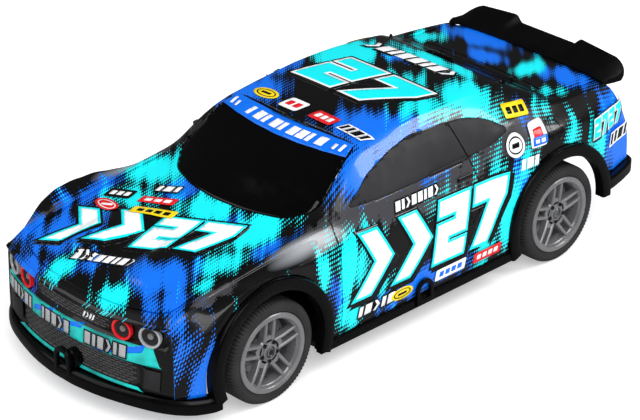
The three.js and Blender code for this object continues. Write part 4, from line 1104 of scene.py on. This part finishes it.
def make_rim(end, y, side, sign):
    """Barrel with a rounded lip, hub disc and five pairs of spokes."""
    bm = bmesh.new()
    inner, outer = WHEEL_INNER, WHEEL_OUTER
    inside = BARREL_RADIUS - 1.2
    barrel = [(inner, inside), (inner, RIM_RADIUS), (inner + 1.2, RIM_RADIUS), (inner + 1.2, BARREL_RADIUS),
              (outer - 1.2, BARREL_RADIUS), (outer - 1.2, RIM_RADIUS), (outer - 0.25, RIM_RADIUS),
              (outer, RIM_RADIUS - 0.3), (outer, inside + 0.6), (outer - 0.3, inside + 0.25),
              (outer - 1.4, inside), (outer - 1.8, inside - 0.35), (outer - 5.6, inside - 0.5),
              (outer - 6, inside - 0.1)]
    hub = [(outer - 7, 2.4), (outer - 7, 5.2), (outer - 3.2, 5.6), (outer - 2.5, 5.2), (outer - 2.3, 4.9),
           (outer - 2.3, 3.3), (outer - 1.7, 3.0), (outer - 1.65, 2.4)]
    lathe(bm, barrel, y, AXLE_Z, 72)
    lathe(bm, hub, y, AXLE_Z, 40)
    for i in range(SPOKE_PAIRS):
        angle = TURN / 4 + i * TURN / SPOKE_PAIRS
        for split in (-1, 1):
            rim_spoke(bm, y, angle, split)
        spoke_web(bm, y, angle)
    wheel_piece(bm, sign, f"{end}_rim_shape_{side}", RIM, f"{end}_rim_{side}")


LUGS = 84                        # tread blocks round a tyre
LUG_DEPTH = 0.5
GROOVE_DEPTH = 0.6


def make_tyre(end, y, side, sign):
    """Rounded tyre with staggered tread blocks that run over the shoulder."""
    bm = bmesh.new()
    inner, outer, r = WHEEL_INNER, WHEEL_OUTER, TYRE_RADIUS
    bead = RIM_RADIUS + GAP
    valley = r - GROOVE_DEPTH
    # x, radius and kind of each point: 0 is smooth, 1 a middle block, 2 a shoulder block.
    tread = [(outer - 0.25, r - 1.3, 2), (outer - 0.75, r - 0.55, 2), (outer - 1.7, r - 0.1, 2),
             (outer - 3.6, r, 2), (outer - 3.7, valley, 0), (outer - 4.5, valley, 0), (outer - 4.6, r, 1),
             (outer - 7.4, r, 1), (outer - 7.5, valley, 0)]
    tread += [(inner + outer - x, radius, kind) for x, radius, kind in reversed(tread)]
    rest = [(inner, r - 2.4, 0), (inner + 0.1, bead + 0.6, 0), (inner + 0.4, bead, 0), (inner + 1.5, bead, 0),
            (inner + 1.5, BARREL_RADIUS + GAP, 0), (outer - 1.5, BARREL_RADIUS + GAP, 0),
            (outer - 1.5, bead, 0), (outer - 0.4, bead, 0), (outer - 0.05, bead + 0.5, 0),
            (outer - 0.15, bead + 0.9, 0), (outer + 0.05, bead + 1.3, 0), (outer + 0.05, r - 2.4, 0)]
    rows = tread + rest

    def block(i, j, radius):
        kind = rows[j][2]
        shift = 0 if kind == 2 else 2
        low = kind and (i + shift) % 4 == 0
        return radius - (LUG_DEPTH if low else 0.0)

    lathe(bm, [(x, radius) for x, radius, _ in rows], y, AXLE_Z, LUGS * 4, wobble=block)
    wheel_piece(bm, sign, f"{end}_tyre_shape_{side}", TYRE, f"{end}_tyre_{side}")


AXIS = 0.01                      # radius where a solid turned shape starts
LUG_CIRCLE = 3.9
DISC_HOLES = 20


def solid_shape(outlines, thick, bevel):
    """A flat shape with holes, given a thickness and softened edges; it lies in x and y, centred on z."""
    part = filled_outlines(outlines, 0.005, extrude=thick / 2 - bevel, bevel_depth=bevel, bevel_resolution=1,
                           offset=-bevel)
    fix_normals(part)
    return part


def plate(bm, outlines, axis, low, high, bevel):
    """Adds a solid shape between two places along an axis; the outline is in the other two axes."""
    part = solid_shape(outlines, high - low, bevel)
    middle = (low + high) / 2
    for vert in part.verts:
        u, v, t = vert.co
        vert.co = {0: (middle + t, u, v), 1: (u, middle + t, v), 2: (u, v, middle + t)}[axis]
    copy_faces(part, bm)


def make_hub(end, y, side, sign):
    """A low turned cap in place of the plain nut, with black plugs round it where the lug holes are: painted
    shade for the holes' depth.
    """
    cap = bmesh.new()
    seat, top = WHEEL_OUTER - 2.6, WHEEL_OUTER - 1.2
    lathe(cap, [(seat, AXIS), (seat, 2.2), (top - 0.3, 2.1), (top, 1.8), (top, 1.1), (top - 0.3, 1.0),
                (top - 0.3, AXIS)], y, AXLE_Z, 30)
    wheel_piece(cap, sign, f"{end}_hub_cap_{side}", RIM, f"{end}_wheel_nut_{side}")
    # Black plugs instead of cut lug holes: painted shade for the depth of the holes.
    holes = bmesh.new()
    plug = [(seat, AXIS), (seat, 0.85), (seat + 0.8, 0.85), (seat + 0.65, 0.6), (seat + 0.5, AXIS)]
    for i in range(SPOKE_PAIRS):
        angle = TURN / 4 + (i + 0.5) * TURN / SPOKE_PAIRS
        lathe(holes, plug, y + LUG_CIRCLE * math.cos(angle), AXLE_Z + LUG_CIRCLE * math.sin(angle), 14)
    wheel_piece(holes, sign, f"{end}_lug_hole_shade_{side}", BLACK, f"{end}_rim_{side}", instead=False)


def make_disc(end, y, side, sign):
    """Brake disc with two staggered rings of holes, and its raised bell."""
    bm = bmesh.new()
    outlines = [arc(y, AXLE_Z, 12.4, 48), arc(y, AXLE_Z, 2.3, 16)]
    for i in range(DISC_HOLES):
        radius = 10.9 if i % 2 else 9.0
        angle = i * TURN / DISC_HOLES
        outlines.append(arc(y + radius * math.cos(angle), AXLE_Z + radius * math.sin(angle), 0.5, 8))
    back, face = WHEEL_OUTER - 9, WHEEL_OUTER - 7.6
    plate(bm, outlines, 0, back, face, 0.12)
    lathe(bm, [(face - 0.2, 2.4), (face - 0.2, 6.6), (face + 0.3, 6.4), (face + 0.3, 2.4)], y, AXLE_Z, 32)
    wheel_piece(bm, sign, f"{end}_drilled_disc_{side}", DISC, f"{end}_brake_disc_{side}")


for end, end_y in ENDS:
    for side, sign in SIDES:
        make_rim(end, end_y, side, sign)
        make_tyre(end, end_y, side, sign)
        make_hub(end, end_y, side, sign)
        make_disc(end, end_y, side, sign)


# ---------------------------------------------------------------- black trim

def sweep(bm, path, section):
    """Runs an (outward, z) section along a plan line whose outside is on its right."""
    points = np.array(path, float)
    along = np.gradient(points, axis=0)
    out = np.column_stack([along[:, 1], -along[:, 0]]) / np.hypot(along[:, 0], along[:, 1])[:, None]
    join_rings(bm, [[bm.verts.new((p[0] + n[0] * o, p[1] + n[1] * o, z)) for o, z in section]
                    for p, n in zip(points, out)])


def arch_outline(half, foot, top):
    """A post on each side and a half round over them."""
    return [(half, foot)] + arc(0, top - half, half, 14, 0, math.pi) + [(-half, foot)]


def snap_arch(bm, axis, foot, top, low, high):
    """Loop that holds the body: an upright arch with an opening."""
    plate(bm, [arch_outline(4.6, foot, top), arch_outline(2.7, foot + 2.4, top - 1.9)], axis, low, high, 0.3)


def flare(bm, y, first, last, sign):
    """Wheel-arch flare with a rounded outer edge, between two angles in degrees."""
    r0, r1 = ARCH_RADIUS, FLARE_RADIUS
    profile = [(TRIM_INNER, r0), (HALF_WIDTH - 0.6, r0), (HALF_WIDTH - 0.2, r0 + 0.2), (HALF_WIDTH, r0 + 0.7),
               (HALF_WIDTH, r1 - 1.0), (HALF_WIDTH - 0.2, r1 - 0.4), (HALF_WIDTH - 0.7, r1 - 0.05),
               (HALF_WIDTH - 1.3, r1), (TRIM_INNER, r1)]
    lathe(bm, profile, y, AXLE_Z, 56, math.radians(first), math.radians(last), sign=sign)


def skirt(bm, sign):
    """Side skirt between the flares."""
    reach = AXLE_Y - ARCH_RADIUS + 0.5
    section = [(-3.6, SKIRT_BOTTOM), (-0.7, SKIRT_BOTTOM), (0, SKIRT_BOTTOM + 0.7), (0, SKIRT_TOP - 1.4),
               (-0.4, SKIRT_TOP - 0.5), (-1.3, SKIRT_TOP), (-3.6, SKIRT_TOP)]
    sweep(bm, [(sign * SKIRT_HALF, -sign * reach), (sign * SKIRT_HALF, sign * reach)], section)


def splitter(bm):
    """Lip under the nose, from one front flare round to the other."""
    half = [(58.2, -106.5), (57.4, -110.5), (53.6, -117.2), (46.5, -123.2), (36, -128), (20, -132.8),
            (7, -134.8), (0, -HALF_LENGTH)]
    low, high = SPLITTER_BOTTOM, SPLITTER_TOP
    section = [(-5.5, low), (-0.7, low), (-0.1, low + 0.6), (0, low + 1.6), (-0.1, high - 2),
               (-0.6, high - 0.7), (-1.5, high), (-5.5, high)]
    sweep(bm, smooth_path(mirrored(half), 5), section)


def rear_lip(bm):
    """Bar round the rear bumper, from one rear flare to the other."""
    half = [(HALF_WIDTH, 106), (57.2, 114), (54.6, 124), (51.6, 131), (46, 133.6), (20, 134.6),
            (0, HALF_LENGTH)]
    low, high = 21.2, 27.2
    section = [(-4.4, low), (-0.8, low), (0, low + 0.8), (0, high - 1), (-0.8, high), (-4.4, high)]
    sweep(bm, smooth_path(mirrored(half)[::-1], 5), section)


def trim_set():
    bm = bmesh.new()
    for _, sign in SIDES:
        flare(bm, -AXLE_Y, -20, 200, sign)
        flare(bm, AXLE_Y, -2, 200, sign)
        skirt(bm, sign)
        snap_arch(bm, 0, 11.6, 22.4, *sorted((sign * (SKIRT_HALF - 0.4), sign * HALF_WIDTH)))
    snap_arch(bm, 1, 9, 22, -HALF_LENGTH, -HALF_LENGTH + 1.7)
    splitter(bm)
    rear_lip(bm)
    fix_normals(bm)
    finish_piece(bm, "moulded_trim", TRIM, "lower_trim", instead=True)


SPOILER_TIP = 44.2               # half width
SPOILER_BEND = 37.5              # where the rounding of the ends starts
STEP_UP = 15                     # where the blade starts to rise towards its ends


def spoiler():
    """A blade rising to the rear edge: low in the middle, higher at the ends, rounded at the tips."""
    bm = bmesh.new()
    half = (0, 6, 12, STEP_UP, 15.8, 16.6, 17.4, 18.2, 19, 26, 33, SPOILER_BEND, 39.6, 41.2, 42.4, 43.4, 44,
            SPOILER_TIP)
    rings = []
    for x in [-x for x in half[:0:-1]] + list(half):
        across = abs(x)
        rise = float(soft_step(across, STEP_UP, STEP_UP + 3.6))
        beyond = max((across - SPOILER_BEND) / (SPOILER_TIP - SPOILER_BEND), 0)
        fullness = math.sqrt(max(1 - beyond ** 2, 0))
        foot = 65.3 - 0.04 * max(across - 20, 0) - 1.6 * beyond
        top = foot + (1.9 + (2.9 - 0.06 * max(across - 19, 0)) * rise) * (0.12 + 0.88 * fullness)
        back = 134.9 - 3.6 * (1 - fullness)
        front = 118.6 + 1.2 * (1 - fullness)
        section = ((front, foot - 0.6), (126, foot - 1.6), (back - 1, top - 2.4), (back, top - 1.5),
                   (back, top - 0.5), (back - 0.7, top), (back - 2.2, top - 0.1),
                   (127.5, foot + (top - foot) * 0.62), (122, foot + 1.5), (front + 0.8, foot + 1.0),
                   (front, foot + 0.5))
        rings.append([bm.verts.new((x, y, z)) for y, z in section])
    join_rings(bm, rings)
    fix_normals(bm)
    finish_piece(bm, "gull_spoiler", MATT, "rear_spoiler", instead=True, smooth_angle=50)


# ---------------------------------------------------------------- nose and tail

def bricks(outline, width, height, gap):
    """Rows of offset small bars that fill an outline."""
    us, vs = [u for u, _ in outline], [v for _, v in outline]
    found = []
    for row in range(int((max(vs) - min(vs) - gap) / (height + gap))):
        v = min(vs) + gap + row * (height + gap)
        u = min(us) - width + (row % 2) * (width + gap) / 2
        while u < max(us):
            bar = [(u, v), (u + width, v), (u + width, v + height), (u, v + height)]
            if all(inside(corner, outline) for corner in bar):
                found.append(bar)
            u += width + gap
    return found


def grilles():
    """Dark let-in plates with raised bars, and a small mark on the upper one."""
    upper = rounded([(-21, 35.3), (21, 35.3), (21.6, 41.6), (-21.6, 41.6)], 1)
    lower = rounded([(-33.5, 15.4), (33.5, 15.4), (33.5, 25), (-33.5, 25)], 4)
    for name, outline in (("upper", upper), ("lower", lower)):
        mesh = Sheet(f"{name}_mesh", f"{name}_grille", BACKWARD, thick=0.5, instead=True)
        mesh.lay([outline], CHARCOAL, lift=0.12)
        mesh.done()
        raised = Sheet(f"{name}_mesh_bars", f"{name}_grille", BACKWARD, thick=0.4)
        for bar in bricks(outline, 2.7, 0.72, 0.42):
            raised.lay([bar], GRILLE_BAR, lift=0.42)
        raised.done()
    mark = Sheet("grille_mark", "upper_grille", BACKWARD)
    mark.lay(shape_row("/>//", 2.8, (7.5, 36.6), gap=0.2, slant=0.4, stretch=0.6), WHITE, lift=0.75)
    mark.done()


def bumper_print():
    """Teal band with blue streaks and three rows of blocks, dark corners and a teal foot."""
    bumper = Sheet("bumper_print", "body_shell", BACKWARD)
    bumper.lay([[(-44.5, 27), (-43, 34.2), (41, 34.2), (43.5, 26.4), (30, 26), (-40, 26)]], TEAL)
    for u, v, width, height, turn in ((-14, 31.6, 13, 2.2, 0.25), (2, 32.4, 15, 1.8, 0.2),
                                      (20, 28.2, 12, 2.4, 0.3), (-30, 27.8, 9, 1.8, 0.2),
                                      (33, 32, 9, 2.6, 0.3), (-2, 27.6, 9, 1.5, 0.2)):
        bumper.lay([slanted_box(u, v, width, height, slant=0.9, turn=turn)], BLUE)
    for start, text in ((-42, "==/>=/"), (-15, "/==>="), (10.5, "=/=>/=")):
        bumper.lay_word(shape_row(text, 5.2, (start, 27.6), gap=0.2, slant=0.1, stretch=0.6), BLACK, SILVER)
    for _, sign in SIDES:
        bumper.lay([[(sign * 35, 16), (sign * 42.4, 16.2), (sign * 43, 24.6), (sign * 35, 24.8)]], CHARCOAL)
    bumper.lay([[(-36, 14.45), (36, 14.45), (33, 15.5), (-33, 15.5)]], TEAL)
    bumper.done()


def front_catch():
    """Round knob behind the front snap loop."""
    knob = bmesh.new()
    lathe(knob, [(0, AXIS), (0, 3.4), (0.5, 4.0), (3.4, 4.2), (3.4, AXIS)], 0, 0, 28)
    for v in knob.verts:
        depth, across, up = v.co
        v.co = (across + 2.6, -132.9 + depth, up + 17)
    fix_normals(knob)
    finish_piece(knob, "front_catch", TRIM, "body_shell")


def lamp(kind, x, radius, side, sign):
    """A lamp tilted with the nose: bright ring, dark bowl and a small bulb."""
    def nose(place):
        return BODY_SURFACE.ray_cast(Vector((place, -FAR, LAMP_Z)), Vector(BACKWARD))[0].y

    middle = sign * x
    face = nose(middle)
    turn = math.atan2(nose(middle + radius) - nose(middle - radius), 2 * radius)
    c, d = math.cos(turn), math.sin(turn)
    wide = radius * 0.3
    ring = [(0.4, radius - 1.1), (-0.3, radius - 0.9), (-0.55, radius - 0.5), (-0.3, radius - 0.1),
            (1.2, radius), (1.2, radius - 1.1)]
    bowl = [(1.4, AXIS), (1.2, wide), (0.2, radius - 1.25), (0.9, radius - 1.2), (2.2, AXIS)]
    bulb = [(0.0, AXIS), (0.1, radius * 0.16), (0.45, radius * 0.27), (1.3, wide), (1.6, AXIS)]
    for name, profile, material in (("ring", ring, SILVER if kind == "outer" else RED),
                                    ("bowl", bowl, CHARCOAL), ("bulb", bulb, RIM)):
        bm = bmesh.new()
        lathe(bm, profile, 0, 0, 36)
        for v in bm.verts:
            depth, across, up = v.co
            depth -= LAMP_FORWARD
            v.co = (middle + c * across - d * depth, face + d * across + c * depth, LAMP_Z + up)
        fix_normals(bm)
        finish_piece(bm, f"lamp_{kind}_{name}_{side}", material, f"headlight_{kind}_{side}", name == "ring")


def tail_lamps(side, sign):
    """Dark panel with four red lenses."""
    node = f"tail_light_{side}"
    lens = Sheet(f"tail_lens_{side}", node, FORWARD, thick=0.9, instead=True)
    panel = rounded([(sign * 13.4, 49.8), (sign * 43.2, 49.8), (sign * 43.2, 57.4), (sign * 13.4, 57.4)], 1.2)
    lens.lay([[(-u, v) for u, v in panel]], CHARCOAL, lift=0.3)
    for k in range(4):
        block = slanted_box(sign * (17.6 + k * 7.1), 53.6, 5.6, 5.2, slant=0)
        lens.lay([[(-u, v) for u, v in block]], RED_LENS, lift=0.8)
    lens.done()


trim_set()
spoiler()
grilles()
bumper_print()
for side, sign in SIDES:
    for kind, lamp_x, lamp_radius in LAMPS:
        lamp(kind, lamp_x, lamp_radius, side, sign)
front_catch()
for side, sign in SIDES:
    tail_lamps(side, sign)


# ---------------------------------------------------------------- floor, light and camera

FLOOR_HALF = 3.0                 # metres
FLOOR_GLOW = 0.42


def floor():
    """Plain whitish floor; it looks dark in the gloss of the car, which keeps the blacks deep."""
    bm = bmesh.new()
    for x, y in ((-1, -1), (1, -1), (1, 1), (-1, 1)):
        bm.verts.new((x * FLOOR_HALF, y * FLOOR_HALF, 0))
    bm.faces.new(bm.verts)
    mesh = bpy.data.meshes.new("floor")
    bm.to_mesh(mesh)
    bm.free()
    n = Nodes(bpy.data.materials.new("floor"))
    tint = n.mix(n.ramp(n.noise(3, 3), 0.4, 0.6), (0.86, 0.86, 0.86, 1), (0.9, 0.9, 0.9, 1))
    mirrored = n.add("LightPath").outputs["Is Glossy Ray"]
    glow = n.math("MULTIPLY", n.math("SUBTRACT", 1.0, mirrored), FLOOR_GLOW)
    n.finish(Base_Color=n.mix(mirrored, tint, (0.2, 0.2, 0.2, 1)), Emission_Strength=glow, Roughness=0.7,
             Emission_Color=(1, 1, 1, 1))
    mesh.materials.append(n.owner)
    add_object("floor", mesh)


def surroundings():
    """White to the camera, softer as light, and almost dark in reflections."""
    n = Nodes(bpy.data.worlds.new("studio"), "Background")
    ray = n.add("LightPath").outputs
    strength = n.ramp(ray["Is Camera Ray"], 0.0, 1.0, 0.55, 1.0)
    dull = n.math("MULTIPLY", ray["Is Glossy Ray"], 0.49)
    bpy.context.scene.world = n.finish(Color=(1, 1, 1, 1), Strength=n.math("SUBTRACT", strength, dull))


def soft_light(name, place, size, power):
    """A square lamp that faces the middle of the car."""
    data = bpy.data.lights.new(name, "AREA")
    data.size = size
    data.energy = power
    light = add_object(name, data)
    light.location = place
    light.rotation_euler = (Vector((0, 0, 0.03)) - Vector(place)).to_track_quat("-Z", "Y").to_euler()


def camera():
    """From the front left and above, through a long lens."""
    azimuth, elevation = math.radians(45.96), math.radians(27.52)
    distance = 1.0885
    target = Vector((0, -0.0008, 0.0311))
    back = Vector((math.sin(azimuth) * math.cos(elevation), -math.cos(azimuth) * math.cos(elevation),
                   math.sin(elevation)))
    data = bpy.data.cameras.new("camera")
    data.lens = 152.8
    data.sensor_width = 36
    data.clip_start = 0.01
    view = add_object("camera", data)
    view.location = target + back * distance
    view.rotation_euler = back.to_track_quat("Z", "Y").to_euler()
    bpy.context.scene.camera = view


floor()
surroundings()
soft_light("key", (0.9, -0.5, 1.1), 0.9, 9)
soft_light("fill", (-0.7, -0.9, 0.9), 1.0, 5)
soft_light("crest", (0.62, 0.70, 0.86), 0.5, 7)
camera()
bpy.context.scene.view_settings.view_transform = "Standard"
